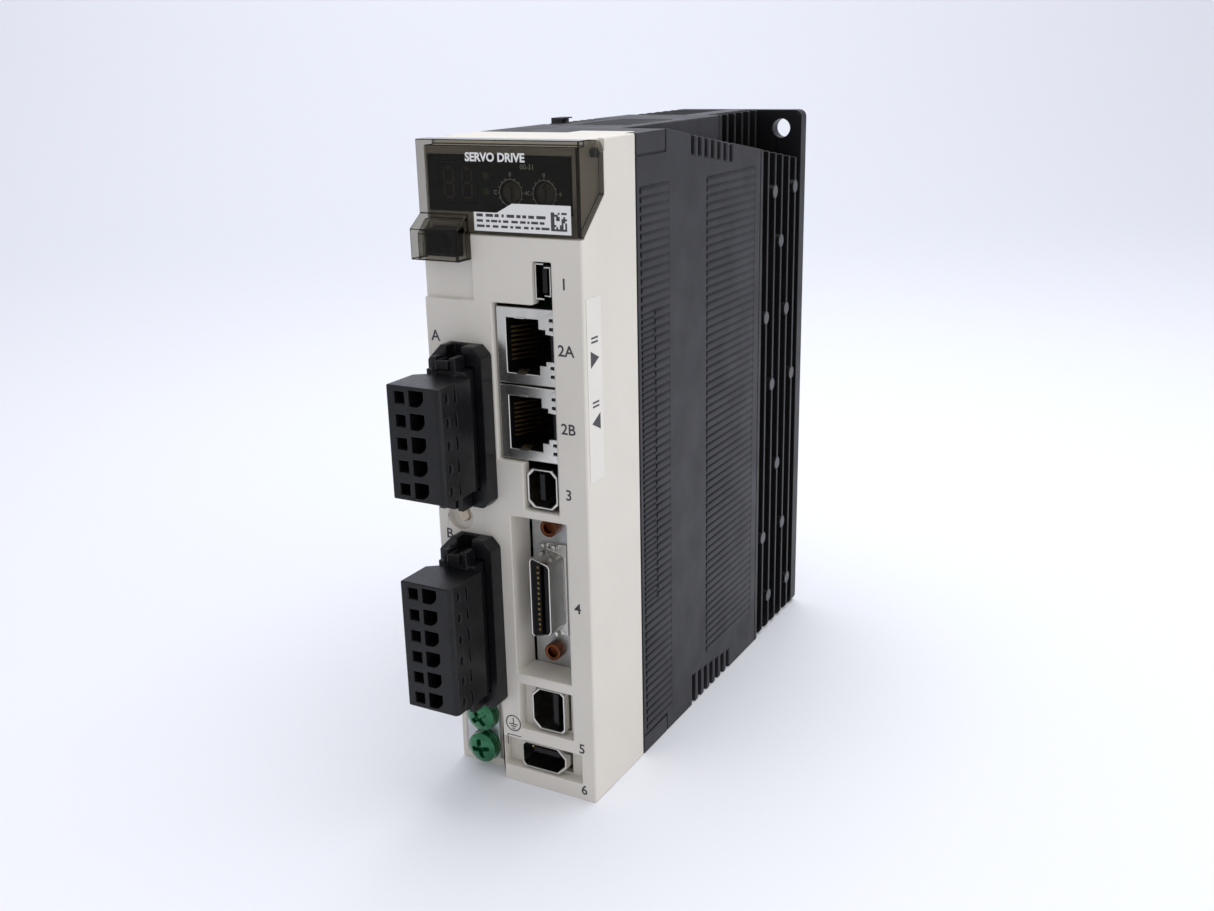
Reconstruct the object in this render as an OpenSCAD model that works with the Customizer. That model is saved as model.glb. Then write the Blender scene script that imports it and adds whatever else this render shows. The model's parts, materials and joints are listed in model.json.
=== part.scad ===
// Slim panel-mounted servo drive: pale front cover over a dark ribbed housing and a black
// die-cast heatsink, with a hinged smoked display cover, signal ports and two pull-off plugs.
// Inside the modules x runs across the front from the left, y from the front face to the
// rear mounting face, and z up from the bottom. in_frame() moves that corner to the row
// frame, whose origin is the centre of the rear mounting face.

/* [Body] */
// Width across the front
body_w = 40; // [40:1:60]
// Height
body_h = 150; // [150:1:200]
// Depth from the front face to the rear mounting face
body_d = 130; // [130:1:180]
// Wall of the two plastic shells
wall = 2; // [1.6:0.1:2.4]
// Depth of the pale front cover
cover_d = 24.5; // [22:0.5:30]

/* [Heatsink] */
// Depth of the heatsink behind the housing
heatsink_d = 33.7; // [30:0.1:45]
// Number of fins between its two plates
fin_count = 5; // [4:1:7]
// Thickness of one fin
fin_t = 1.1; // [0.8:0.1:1.6]
// Thickness of the rear mounting plate
back_plate_t = 4; // [3:0.5:5]
// Radius of the mounting hole and of the mounting slot
mount_r = 2.6; // [2.1:0.1:3.2]
// Distance of the mounting centres in from the side
mount_in = 6; // [5:0.5:8]
// Distance of the mounting centres in from the top and the bottom
mount_edge = 5; // [4.5:0.5:7]
// Width of the sloping screwdriver channels at the mounting corners
channel_w = 12; // [10:0.5:14]
// Depth at which the sloping channels start
channel_y = 40; // [36:1:50]

/* [Display cover] */
// Height of the smoked cover
display_h = 19.4; // [18:0.2:24]
// Wall of the smoked cover
smoke_t = 1.3; // [1:0.1:1.6]
// Distance of the hinge axis back from the front face
hinge_y = 7.6; // [7:0.1:9]
// Distance of the hinge axis down from the top
hinge_drop = 2.8; // [2.6:0.1:3.4]
// Radius of the hinge pins
pin_r = 0.9; // [0.7:0.05:1.1]
// Width of the pull tab
tab_w = 12.4; // [11.5:0.2:14]

/* [Plugs] */
// Distance between neighbouring poles
pole_pitch = 5.08; // [5:0.04:5.2]
// Poles of the power plug
power_poles = 5; // [4:1:5]
// Poles of the motor plug
motor_poles = 6; // [5:1:6]
// Width of a plug
plug_w = 13.4; // [12.6:0.2:14]
// How far a plug stands out of the front face
plug_out = 19.5; // [17:0.5:23]
// How far a header flange stands out of the front face
flange_t = 4; // [3:0.5:5]

/* [Ports] */
// Distance of the port column's right edge in from the side
port_in = 7.5; // [7:0.5:9]
// Height of one network jack
jack_h = 16.8; // [15.8:0.2:17]
// Width of one network jack
jack_w = 14.4; // [14:0.2:15]

/* [Hidden] */
$fn = 48;

// Small clearances shared by the fits
gap = 0.15;         // between parts that move past each other
pin_gap = 0.06;     // radial, hinge pin in its hole
eps = 0.01;

// Heatsink
sink_y = body_d - heatsink_d;                   // rear end of the housing
base_t = 2;                                     // front plate of the heatsink
back_y = body_d - back_plate_t;
fin_pitch = (back_y - sink_y - base_t) / (fin_count + 0.45);
web_x = [body_w / 2 - 3, body_w / 2 + 3];       // rib that carries the fins down the middle
fin_r = 2;                                      // rounded corners of the plates and fins
slope = 0.152;                                  // fall of the channels per mm of depth
mount_x = body_w - mount_in;                    // upper hole; the lower slot is mount_in
pad_r = 1.9;                                    // round ejector pads on the fin edges
boss_y = sink_y - 6;                            // front of the block behind the power module

rib_deep = 0.4;                                 // recesses of the ribbed side panels

// Display
display_z = body_h - display_h;                 // lower edge of the smoked cover
hinge_z = body_h - hinge_drop;
ear_t = 1.2;
ear_r = 2.5;                                    // round end of an ear about the hinge
ear_back = hinge_y + ear_r;
top_lip = 4.2;                                  // depth of the cover's top edge
lip_r = norm([hinge_y - top_lip, hinge_drop - smoke_t]) - 0.3;  // clear of the turning lip
face_y = smoke_t + gap + 0.05;                  // pale face behind the smoked cover
panel_z = [display_z + 4.4, body_h - 3.2];      // black panel behind the smoked cover
panel_x = [1.8, body_w - 2.6];
panel_t = 1.2;
tab_z = display_z - 5.7;                        // lower edge of the pull tab
tab_out = 4;
tab_top = display_z + 3.8;
recess_z = [tab_z - 8.6, display_z - 0.2];      // finger recess below the tab
recess_t = 0.9;
dial_r = 2.2;
dial_x = [body_w - 17.4, body_w - 9.2];         // tens, units
dial_z = panel_z[0] + 4.2;

// Plugs
plug_x = 9.7;                                   // middle of both plugs
power_z = body_h - 61.5;                        // middle of the power plug
motor_z = 41.4;                                 // middle of the motor plug
shroud_y = 9;                                   // depth of a header behind the front face
plug_rear = 7.4;                                // how far a plug reaches behind the face
neck_y = -7.6;                                  // rear of a plug's wide front block
neck_w = 9.8;                                   // width of a plug behind that block
pin_s = 1;                                      // side of a square header pin
cheek_w = 1.4;                                  // cheeks of the plug beside each latch
latch_w = 3.2;
latch_y = -5.6;                                 // rocking axis of the latches
latch_rise = 2.2;                               // that axis beyond the plug's front block
latch_pad = 1.4;                                // thumb pad beyond the plug's front block
latch_h = [5.4, 3.9];                           // reach of the lower and the upper latch
latch_pin_r = 0.55;
charge_x = 6.3;
charge_z = body_h - 84.2;

// Ports: every port is soldered to the control board, right of the port column
port_x = body_w - port_in;                      // right edge of the openings
tongue_x = [body_w - 17, body_w - 3];           // snap tongue of the front cover
tongue_d = 6.2;
tongue_t = 1.3;
board_t = 1.6;
board_x = port_x + 0.7;                         // left face of the control board
usb_z = body_h - 28.8;
usb_w = 3.9;
usb_h = 7.7;
lan_z = [body_h - 43.1, body_h - 60.3];         // middles of the two jacks
lan_x = port_x - 0.3 - jack_w;
safety_z = body_h - 74.9;
safety_s = [7.8, 9.2];
io_x = [body_w - 20.2, body_w - 5.7];           // pocket of the parallel port
io_z = [29, 68];
io_mid = 48.6;
io_face_y = 8;                                  // front of the metal bracket
io_w = 5.4;
io_h = 19.4;
io_left = body_w - 16.3;
io_pitch = 1.27;
scale_c = [body_w - 12.5, 20.8];
scale_s = [8.8, 10.6];
encoder_c = [body_w - 14.2, 7.8];
encoder_s = [12.2, 6.8];

// Power side
power_board_x = wall + 1.4;                     // left face of the power board
power_board_y = 12;                             // its front edge
earth_x = [1.6, 11];
earth_y = 4.2;                                  // front of the earth plate
earth_h = 20.6;
earth_screw_x = 7.3;
earth_screw_z = [5.3, 13.8];
notch_x = 14.8;                                 // right edge of the earth notch

// A block given by its limits along each axis
module span(x, y, z) {
    translate([x[0], y[0], z[0]])
        cube([x[1] - x[0], y[1] - y[0], z[1] - z[0]]);
}

// Sweeps a y-z outline along x over the limits x
module along_x(x) {
    translate([x[0], 0, 0])
        rotate([90, 0, 90]) linear_extrude(x[1] - x[0]) children();
}

// Sweeps an x-z outline along y over the limits y
module along_y(y) {
    translate([0, y[1], 0])
        rotate([90, 0, 0]) linear_extrude(y[1] - y[0]) children();
}

// A rod of radius r along y over the limits y, at x and z
module rod_y(x, z, r, y) {
    translate([x, y[1], z]) rotate([90, 0, 0]) cylinder(r = r, h = y[1] - y[0]);
}

// A rod of radius r along x over the limits x, at y and z
module rod_x(y, z, r, x) {
    translate([x[0], y, z]) rotate([0, 90, 0]) cylinder(r = r, h = x[1] - x[0]);
}

// A rectangle about c, of size s, with its corners cut off by a list of four lengths,
// counted from the lower left and going round to the right
module cut_rect(c, s, cut) {
    a = s[0] / 2;
    b = s[1] / 2;
    translate(c) polygon([
        [-a + cut[0], -b], [a - cut[1], -b], [a, -b + cut[1]], [a, b - cut[2]],
        [a - cut[2], b], [-a + cut[3], b], [-a, b - cut[3]], [-a, -b + cut[0]]
    ]);
}

function middle(r) = (r[0] + r[1]) / 2;
function grow(r, g) = [r[0] - g, r[1] + g];
function about(c, size) = [c - size / 2, c + size / 2];
function pole_z(mid, poles, k) = mid + (k - (poles - 1) / 2) * pole_pitch;
function block_half(poles) = poles * pole_pitch / 2;
function flange_half(poles) = block_half(poles) + 5.6;

// Moves the drive's corner to the row frame
module in_frame() {
    translate([-body_w / 2, -body_d, -body_h / 2]) children();
}

// ---- Enclosure ----

// Height of the sloping channel floor at depth y, below the top
function channel_drop(y) = slope * (y - channel_y);

// The two sloping channels that reach back to the mounting plate; grown by g on the closed
// sides
module channels(g = 0) {
    last = back_y;
    along_x([body_w - channel_w - g, body_w + 1])
        polygon([
            [channel_y - g * 6, body_h + 1], [channel_y - g * 6, body_h],
            [last, body_h - channel_drop(last) - g - slope * 6 * g], [last, body_h + 1]
        ]);
    along_x([-1, channel_w + g])
        polygon([
            [channel_y - g * 6, -1], [channel_y - g * 6, 0],
            [last, channel_drop(last) + g + slope * 6 * g], [last, -1]
        ]);
}

// The side outline of the smoked cover's ears, grown by g
module ear_outline(g = 0) {
    polygon([
        [-g, display_z - g], [1.1 + g / 2, display_z - g],
        [ear_back + g, display_z + 8 - g / 2], [ear_back + g, hinge_z],
        [hinge_y, hinge_z + ear_r + g], [top_lip, body_h + g], [-g, body_h + g]
    ]);
    translate([hinge_y, hinge_z]) circle(r = ear_r + g);
}

module front_cover() {
    color("#e4e1da") {
        difference() {
            union() {
                difference() {
                    span([0, body_w], [0, cover_d], [0, body_h]);
                    span([wall, body_w - wall], [wall + 0.6, cover_d + 1], [wall, body_h - wall]);
                }
                // thick face behind the display, and the pocket walls of the lower ports
                span([wall - eps, body_w - wall + eps], [wall, face_y + 4.4],
                     [max(display_z - 2, usb_z + usb_h / 2 + 0.6), body_h - wall + eps]);
                span(grow(io_x, 1.2), [wall, io_face_y], [io_z[0] - 1.5, io_z[1] + 1.5]);
                span([notch_x, body_w - wall + eps], [wall, 5], [wall - eps, io_z[0]]);
                // floor and wall of the earth notch
                span([wall - eps, notch_x + 1.6], [wall, 9], [wall - eps, earth_h + 1.5]);
            }
            display_cuts();
            port_cuts();
            header_opening(power_z, power_poles);
            header_opening(motor_z, motor_poles);
            rod_y(charge_x, charge_z, 3.3, [-1, 1.6]);
            rod_y(charge_x, charge_z, 1.6, [1, 5]);
            earth_notch();
        }
        // snap tongue that lies in the housing's top
        span(tongue_x, [cover_d - 2, cover_d + tongue_d], [body_h - tongue_t, body_h]);
    }
}

// Room for the smoked cover, its ears and tab, and what sits behind it
module display_cuts() {
    span([-1, body_w + 1], [-1, face_y], [display_z - 0.2, body_h + 1]);
    span([-1, body_w + 1], [-1, top_lip + 0.2], [body_h - smoke_t - 0.2, body_h + 1]);
    // bevel that the lip's rear edge swings over
    along_x([-1, body_w + 1]) polygon([
        [top_lip, body_h - smoke_t - 0.2], [top_lip + 0.2, body_h - smoke_t - 0.2],
        [hinge_y - sqrt(lip_r * lip_r - hinge_drop * hinge_drop), body_h],
        [hinge_y, body_h + 3], [top_lip, body_h + 3]
    ]);
    // ear seats, square at the top so that the ears can turn out
    for (x = [[-1, ear_t + gap], [body_w - ear_t - gap, body_w + 1]]) {
        along_x(x) ear_outline(gap);
        span(x, [0, ear_back + 0.5], [hinge_z, body_h + 1]);
    }
    // pin seats
    rod_x(hinge_y, hinge_z, pin_r, [-1, ear_t + 4.2]);
    rod_x(hinge_y, hinge_z, pin_r, [body_w - ear_t - 4.2, body_w + 1]);
    // seat and opening of the black panel
    span(panel_x, [face_y - 1, face_y + panel_t], panel_z);
    span(grow(panel_x, -1), [face_y, face_y + 6], grow(panel_z, -0.8));
    // finger recess and monitor socket below the tab
    span([-1, tab_w + 0.3], [-1, recess_t], recess_z);
    span([2.2, 10.2], [-1, 9], [display_z - 5.2, display_z + 1]);
}

// The stepped opening of the port column and the pockets of the three lower ports
module port_cuts() {
    column = [-1, wall + 2];
    span([port_x - 4.6, port_x], column, [usb_z - usb_h / 2 - 1.2, usb_z + usb_h / 2 + 0.4]);
    span([lan_x - 0.4, port_x], column, [lan_z[1] - jack_h / 2 - 0.4, lan_z[0] + jack_h / 2 + 0.9]);
    span([port_x - 8.8, port_x], column, [safety_z - safety_s[1] / 2 - 0.6, lan_z[1] - jack_h / 2]);
    span(io_x, [-1, io_face_y + 1], io_z);
    // shallow recesses of the two lowest ports, and the openings round their shells
    span([body_w - 20, body_w - 5.6], [-1, 3], [14.8, 26.4]);
    span(about(scale_c[0], scale_s[0] + 0.6), [2, 9], about(scale_c[1], scale_s[1] + 0.6));
    span([body_w - 24.8, body_w - 3.6], [-1, 3], [4, 11.6]);
    span(about(encoder_c[0], encoder_s[0] + 0.6), [2, 9], about(encoder_c[1], encoder_s[1] + 0.6));
}

module header_opening(mid, poles) {
    h = block_half(poles) + 3.6;
    span([plug_x - 6.1, plug_x + 6.1], [-1, 6], [mid - h, mid + h]);
}

// Stepped notch at the lower left for the earth terminals
module earth_notch() {
    span([-1, notch_x], [-1, earth_y], [-1, earth_h]);
    span([earth_x[0], notch_x], [earth_y - 1, earth_y + 1.2], [wall, earth_h - 0.4]);
    for (z = earth_screw_z) rod_y(earth_screw_x, z, 2.1, [earth_y, 10]);
    span([earth_x[1] + 0.6, notch_x], [earth_y, 7.4], [wall, earth_h]);
}

module main_housing() {
    lip = [cover_d - 3, cover_d + eps];
    color("#3d3d42") difference() {
        union() {
            difference() {
                span([0, body_w], [cover_d, sink_y], [0, body_h]);
                channels();
                difference() {
                    span([wall, body_w - wall], [cover_d - 1, sink_y + 1], [wall, body_h - wall]);
                    channels(wall);
                }
            }
            // hook that stands up at the left edge of the top
            span([0, 3], [56.5, 62], [body_h - wall, body_h + 1.3]);
            // lip that locates the front cover
            difference() {
                span([wall + 0.1, body_w - wall - 0.1], lip, [wall + 0.1, body_h - wall - 0.1]);
                span([wall + 1.2, body_w - wall - 1.2], grow(lip, 1), [wall + 1.2, body_h - wall - 1.2]);
            }
        }
        vent_slots();
        seat_lines();
        shadow_gap();
        rib_recesses();
        span(grow(tongue_x, 0.2), [cover_d - 4, cover_d + tongue_d + 0.2],
             [body_h - tongue_t - 0.1, body_h + 1]);
    }
}

// Ventilation slots along the upper and lower edges of both sides, and across the top
module vent_slots() {
    first = 53;
    pitch = 3.75;
    for (k = [0:6]) {
        y = [first + k * pitch, first + k * pitch + 2];
        fall = channel_drop(y[1]);
        span([body_w - 5, body_w + 1], y, [body_h - fall - 4.6, body_h + 1]);
        span([-1, 5], y, [body_h - 4.6, body_h + 1]);
        span([body_w - 5, body_w + 1], y, [-1, 8.4 - k * 0.45]);
        span([-1, 5], y, [-1, fall + 4.6]);
        span([8, body_w - channel_w - 4], y, [body_h - wall - 1, body_h + 1]);
        span([channel_w + 4, body_w - 8], y, [-1, wall + 1]);
    }
}

// Fine joint lines round the bracket seats at the front corners of both sides
module seat_lines() {
    t = 0.5;
    deep = 0.45;
    back = cover_d + 14.6;
    for (x = [[body_w - deep, body_w + 1], [-1, deep]]) {
        span(x, [cover_d - 1, back], [body_h - 5, body_h - 5 + t]);
        span(x, [back, back + t], [body_h - 5, body_h + 1]);
        span(x, [cover_d - 1, back - 1.6], [4.4, 4.4 + t]);
        span(x, [back - 1.6, back - 1.6 + t], [-1, 4.4 + t]);
    }
}

// Narrow dark line all round the drive, where the housing meets the front cover
module shadow_gap() {
    deep = 0.5;
    difference() {
        span([-1, body_w + 1], [cover_d - 1, cover_d + 0.4], [-1, body_h + 1]);
        span([deep, body_w - deep], [cover_d - 2, cover_d + 1], [deep, body_h - deep]);
    }
}

// Shallow recesses that hold the ribbed panels of both sides
module rib_recesses() {
    for (x = [[body_w - rib_deep, body_w + 1], [-1, rib_deep]]) {
        span(x, [cover_d + 1.7, cover_d + 16.3], [5.2, body_h - 11.6]);
        span(x, [sink_y - 34.6, sink_y - 3.8], [11, body_h - 12.6]);
    }
}

// Outline of a plate or fin across the drive, with rounded corners
module fin_outline() {
    for (x = [0, 1], z = [0, 1])
        translate([fin_r + x * (body_w - 2 * fin_r), fin_r + z * (body_h - 2 * fin_r)])
            circle(r = fin_r);
    translate([fin_r, 0]) square([body_w - 2 * fin_r, body_h]);
    translate([0, fin_r]) square([body_w, body_h - 2 * fin_r]);
}

module heatsink() {
    color("#17181a") difference() {
        union() {
            difference() {
                union() {
                    along_y([sink_y, sink_y + base_t]) square([body_w, body_h]);
                    for (k = [1:fin_count]) {
                        y = sink_y + k * fin_pitch;
                        along_y([y, y + fin_t]) fin_outline();
                        fin_pads(k, y + fin_t / 2);
                    }
                    span(web_x, [sink_y, body_d], [0, body_h]);
                }
                channels();
            }
            along_y([back_y, body_d]) fin_outline();
            span(module_x, [boss_y, sink_y + eps], [34, 104]);
        }
        rod_y(mount_x, body_h - mount_edge, mount_r, [back_y - 1, body_d + 1]);
        rod_y(mount_in, mount_edge, mount_r, [back_y - 1, body_d + 1]);
        span(about(mount_in, 2 * mount_r), [back_y - 1, body_d + 1], [-1, mount_edge]);
        // blind holes of the power module's screws
        for (z = module_screw_z) rod_y(body_w / 2, z, 1.5, [boss_y - 1, boss_y + 5]);
    }
}

// Round pads where the casting was pushed out of its mould, stepped from fin to fin
module fin_pads(k, y) {
    step = (2 * k + 2) % 3;
    for (z = [10.5 + step * 20 : 65 : body_h - 14])
        rod_x(y, z, pad_r, [body_w - 6, body_w]);
    if (step == 0) rod_x(y, body_h - 20.6, pad_r, [body_w - 6, body_w]);
}

module side_sticker() {
    color("#eceae6")
        span([body_w, body_w + 0.12], [1.2, 7.4], [body_h - 72, body_h - 32]);
}

// ---- Display ----

module display_cover() {
    color("#4a4636", 0.6) difference() {
        union() {
            span([0, body_w], [0, smoke_t], [display_z, body_h]);
            span([0, body_w], [0, top_lip], [body_h - smoke_t, body_h]);
            along_x([0, ear_t]) ear_outline();
            along_x([body_w - ear_t, body_w]) ear_outline();
            along_x([0, tab_w]) tab_outline(0);
        }
        along_x([ear_t, tab_w - ear_t]) tab_outline(1);
        rod_x(hinge_y, hinge_z, pin_r + pin_gap, [-1, ear_t + 1]);
        rod_x(hinge_y, hinge_z, pin_r + pin_gap, [body_w - ear_t - 1, body_w + 1]);
    }
}

// Side outline of the hollow pull tab; inner = 1 gives its hollow
module tab_outline(inner) {
    s = inner * 1.1;
    polygon([
        [-tab_out + s, tab_z - inner], [recess_t - gap + inner * 2, tab_z - inner],
        [recess_t - gap + inner * 2, display_z], [smoke_t + inner, display_z],
        [smoke_t + inner, tab_top - s], [0, tab_top - s],
        [-tab_out + s, tab_top - 2.9 - s]
    ]);
}

module rating_sticker() {
    x = [14.2, body_w - 2.2];
    z = [display_z + 0.7, display_z + 5.6];
    color("white") along_y([-0.12, 0])
        polygon([
            [x[0], z[0]], [x[1], z[0]], [x[1], z[1] + 1], [x[0] + 9.6, z[1] + 1],
            [x[0] + 5.8, z[1] - 1], [x[0], z[1] - 1]
        ]);
}

module cover_pins() {
    color("#2b2b2b") {
        rod_x(hinge_y, hinge_z, pin_r, [0.3, ear_t + 4.2]);
        rod_x(hinge_y, hinge_z, pin_r, [body_w - ear_t - 4.2, body_w - 0.3]);
    }
}

module display_panel() {
    color("#0e0e10") difference() {
        span(panel_x, [face_y, face_y + panel_t], panel_z);
        span([4.2, 14.4], [face_y - 1, face_y + 2], [panel_z[0] + 1.6, panel_z[1] - 1.6]);
        for (x = dial_x) rod_y(x, dial_z, dial_r + 0.3, [face_y - 1, face_y + 2]);
        for (k = [0, 1]) rod_y(16.6, lamp_z(k), 0.8, [face_y - 1, face_y + 2]);
    }
}

function lamp_z(k) = middle(panel_z) - 1.6 + 3.2 * k;

module digit_display() {
    z = [panel_z[0] + 1.8, panel_z[1] - 1.8];
    color("#1c1a1a") difference() {
        span([4.4, 14.2], [face_y + 0.2, face_y + 6], z);
        // two recessed digits, each drawn with seven bars
        for (x = [5.4, 10]) digit_bars(x + 0.2, z[0] + 0.8, 2.8, z[1] - z[0] - 1.6);
    }
}

// Seven shallow bars of one digit with its lower left corner at x, z
module digit_bars(x, z, w, h) {
    t = 0.5;
    y = [face_y, face_y + 0.35];
    for (k = [0:2]) span([x + t, x + w - t], y, [z + k * (h - t) / 2, z + k * (h - t) / 2 + t]);
    for (sx = [x, x + w - t + 0.05], k = [0, 1])
        span([sx - 0.05, sx + t - 0.05], y,
             [z + t + k * (h - t) / 2 + 0.05, z + (k + 1) * (h - t) / 2 - 0.05]);
}

module status_lamps() {
    color("#7fae6a") for (k = [0, 1]) rod_y(16.6, lamp_z(k), 0.8, [face_y, face_y + 3]);
}

module monitor_socket() {
    x = [2.4, 10];
    z = [display_z - 5, display_z + 0.8];
    color("#141414") difference() {
        span(x, [-1.8, 8], z);
        span(grow(x, -0.9), [-2, 5], grow(z, -0.9));
    }
}

module address_switches() {
    color("#20242a") for (x = dial_x) difference() {
        span([x - 3.8, x + 3.8], [face_y + panel_t, face_y + 6], [dial_z - 3.4, dial_z + 3.4]);
        rod_y(x, dial_z, dial_r + 0.1, [face_y, face_y + 4.6]);
    }
}

module address_dial(x) {
    y = face_y + 0.5;
    color("#e8e2cf") difference() {
        rod_y(x, dial_z, dial_r, [y, face_y + 4.4]);
        span([x - 0.4, x + 0.4], [y - 1, y + 0.8], [dial_z - 1.9, dial_z + 1.9]);
        translate([x - 0.9, y - 1, dial_z + 0.9]) cube([1.8, 1.8, 0.6]);
    }
}
module address_dial_tens() { address_dial(dial_x[0]); }
module address_dial_units() { address_dial(dial_x[1]); }

module charge_lamp() {
    color("#d8c8b0") {
        rod_y(charge_x, charge_z, 1.5, [1, power_board_y]);
        rod_y(charge_x, charge_z, 2.3, [wall + 0.65, wall + 2]);
        span([power_board_x + board_t, charge_x + 1.3],
             [power_board_y - eps, power_board_y + 3], about(charge_z, 2.6));
    }
}

// ---- Signal ports ----

// Half of the mini port's outline is narrower, so that a plug goes in one way
module usb_outline(g) {
    translate([port_x - 0.6 - usb_w, usb_z]) {
        translate([g, -usb_h / 2 + g]) square([2.2 - g, usb_h - 2 * g]);
        translate([2 - g, -usb_h / 2 + 0.7 + g]) square([usb_w - 2, usb_h - 1.4 - 2 * g]);
    }
}

module usb_shell() {
    color("silver") difference() {
        union() {
            along_y([0.9, 9.4]) usb_outline(0);
            span([port_x - 0.6, board_x], [5, 8], [usb_z - 2.4, usb_z + 2.4]);
        }
        along_y([0, 8.9]) usb_outline(0.35);
    }
}

module usb_tongue() {
    x = port_x - 0.6 - usb_w;
    color("#111111") span([x + 1.3, x + 2.4], [2, 8.9], [usb_z - 2.6, usb_z + 2.6]);
}

// Limits of one network jack's plug cavity, latch slot included
jack_back = 15.4;
function jack_cavity_x() = [lan_x + 2.4, lan_x + 10.6];
module jack_opening(z, y) {
    cavity = jack_cavity_x();
    span(cavity, y, [z - 6, z + 6]);
    span([cavity[1] - eps, lan_x + 12.2], y, [z - 3.9, z + 3.9]);
    span([lan_x + 12.2 - eps, lan_x + jack_w + 1], y, [z - 2.9, z + 2.9]);
}

module lan_shields() {
    t = 0.4;
    color("silver") for (z = lan_z) difference() {
        union() {
            difference() {
                span([lan_x, lan_x + jack_w], [1, jack_back], [z - jack_h / 2, z + jack_h / 2]);
                span([lan_x + t, lan_x + jack_w - t], [1 + t, jack_back + 1],
                     [z - jack_h / 2 + t, z + jack_h / 2 - t]);
            }
        }
        jack_opening(z, [0, 1 + t + eps]);
        // shallow spring windows at the right-hand corners
        for (s = [-1, 1], k = [0, 1])
            span([lan_x + jack_w - 1.2, lan_x + jack_w + 1], [0, 1 + t + eps],
                 [z + s * (4.2 + 1.9 * k) - 0.35, z + s * (4.2 + 1.9 * k) + 0.35]);
    }
}

module lan_inserts() {
    t = 0.4;
    color("#101114") for (z = lan_z) difference() {
        span([lan_x + t, lan_x + jack_w - t], [1 + t, jack_back],
             [z - jack_h / 2 + t, z + jack_h / 2 - t]);
        intersection() {
            jack_opening(z, [0, 12.6]);
            span([0, lan_x + jack_w - t - 0.6], [0, 20], [z - 8, z + 8]);
        }
        lan_contact_row(z);
    }
}

// Eight sloping spring wires of one jack, from the left wall towards the back
module lan_contact_row(z) {
    x = jack_cavity_x()[0];
    for (k = [0:7])
        along_z_at(z + (k - 3.5) * 1.02)
            polygon([[x - 0.6, 3.2], [x, 3], [x + 3.6, 9.4], [x + 3.6, 12.7], [x + 3.1, 12.7],
                     [x + 3.1, 9.6], [x - 0.6, 3.8]]);
}
module along_z_at(z) {
    translate([0, 0, z - 0.22]) linear_extrude(0.44) children();
}

module lan_contacts() {
    color("gold") for (z = lan_z) lan_contact_row(z);
}

module safety_outline(g) {
    cut_rect([port_x - 0.6 - safety_s[0] / 2, safety_z],
             [safety_s[0] - 2 * g, safety_s[1] - 2 * g], [1.4, 1.4, 1.4, 1.4]);
}

module safety_shell() {
    color("silver") difference() {
        along_y([0.8, 12]) safety_outline(0);
        along_y([0, 13]) safety_outline(0.5);
    }
}

module safety_insert() {
    x = port_x - 0.6 - safety_s[0];
    color("#101010") {
        along_y([9, 12]) safety_outline(0.5);
        span([x + 2.6, x + 3.8], [2.2, 9 + eps], [safety_z - 3, safety_z + 3]);
    }
}

// The parallel port's shell: its right-hand corners are cut so that it fits one way
module io_outline(g) {
    translate([io_left + io_w / 2, io_mid]) {
        a = io_w / 2 - g;
        b = io_h / 2 - g;
        polygon([[-a, -b + 0.4], [-a + 0.4, -b], [a - 0.5, -b + 1.1], [a, -b + 1.8],
                 [a, b - 1.8], [a - 0.5, b - 1.1], [-a + 0.4, b], [-a, b - 0.4]]);
    }
}

module io_shell() {
    color("silver") difference() {
        union() {
            along_y([0.6, io_face_y]) io_outline(0);
            span([io_left - 0.6, io_left + io_w + 0.6], [io_face_y - 0.8, io_face_y],
                 [io_mid - io_h / 2 - 1.6, io_mid + io_h / 2 + 1.6]);
            // board-lock claws at both ends
            for (s = [-1, 1], x = [io_left - 0.3, io_left + 2.6])
                span([x, x + 1.3], [io_face_y - 2.2, io_face_y - 0.8 + eps],
                     [io_mid + s * (io_h / 2 + 1) - 0.6, io_mid + s * (io_h / 2 + 1) + 0.6]);
        }
        along_y([0, io_face_y + 1]) io_outline(0.4);
    }
}

module io_insert() {
    x = io_left + io_w / 2;
    color("#121214") difference() {
        union() {
            along_y([1, io_face_y]) io_outline(0.4);
            span([io_left + 0.4, board_x], [io_face_y + 0.8, io_face_y + 8],
                 [io_mid - io_h / 2, io_mid + io_h / 2]);
            span([io_left + 0.4, io_left + io_w - 0.4], [io_face_y - eps, io_face_y + 0.8 + eps],
                 [io_mid - io_h / 2 + 1.8, io_mid + io_h / 2 - 1.8]);
        }
        span([x + 0.1, x + 1.1], [0, 6], [io_mid - 8.6, io_mid + 8.6]);
        io_pin_row([0, 20]);
    }
}

// Thirteen round contacts in one row
module io_pin_row(y) {
    for (k = [-6:6]) rod_y(io_left + io_w / 2 - 0.5, io_mid + k * io_pitch, 0.3, y);
}
module io_pins() {
    color("#f2ead2") io_pin_row([0.9, 14]);
}

module io_bracket() {
    x = [io_x[0] + 0.5, io_x[1] + 0.6];
    color("#b9b7b2") difference() {
        span(x, [io_face_y, io_face_y + 0.8], grow(io_z, 0.8));
        span([io_left + 0.4, io_left + io_w - 0.4], [0, 20],
             [io_mid - io_h / 2 + 1.8, io_mid + io_h / 2 - 1.8]);
        for (s = [-1, 1]) rod_y(io_left + 2.4, io_mid + s * 15.4, 1.2, [0, 20]);
    }
}

module io_jackscrews() {
    color("#a5623c") for (s = [-1, 1]) difference() {
        union() {
            rod_y(io_left + 2.4, io_mid + s * 15.4, 2.1, [io_face_y - 2.4, io_face_y]);
            rod_y(io_left + 2.4, io_mid + s * 15.4, 1.2, [io_face_y - 1, io_face_y + 5]);
        }
        rod_y(io_left + 2.4, io_mid + s * 15.4, 1.25, [io_face_y - 3, io_face_y - 0.9]);
    }
}

module scale_outline(g) {
    cut_rect(scale_c, [scale_s[0] - 2 * g, scale_s[1] - 2 * g], [1.8, 0.7, 0.7, 1.8]);
}

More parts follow.
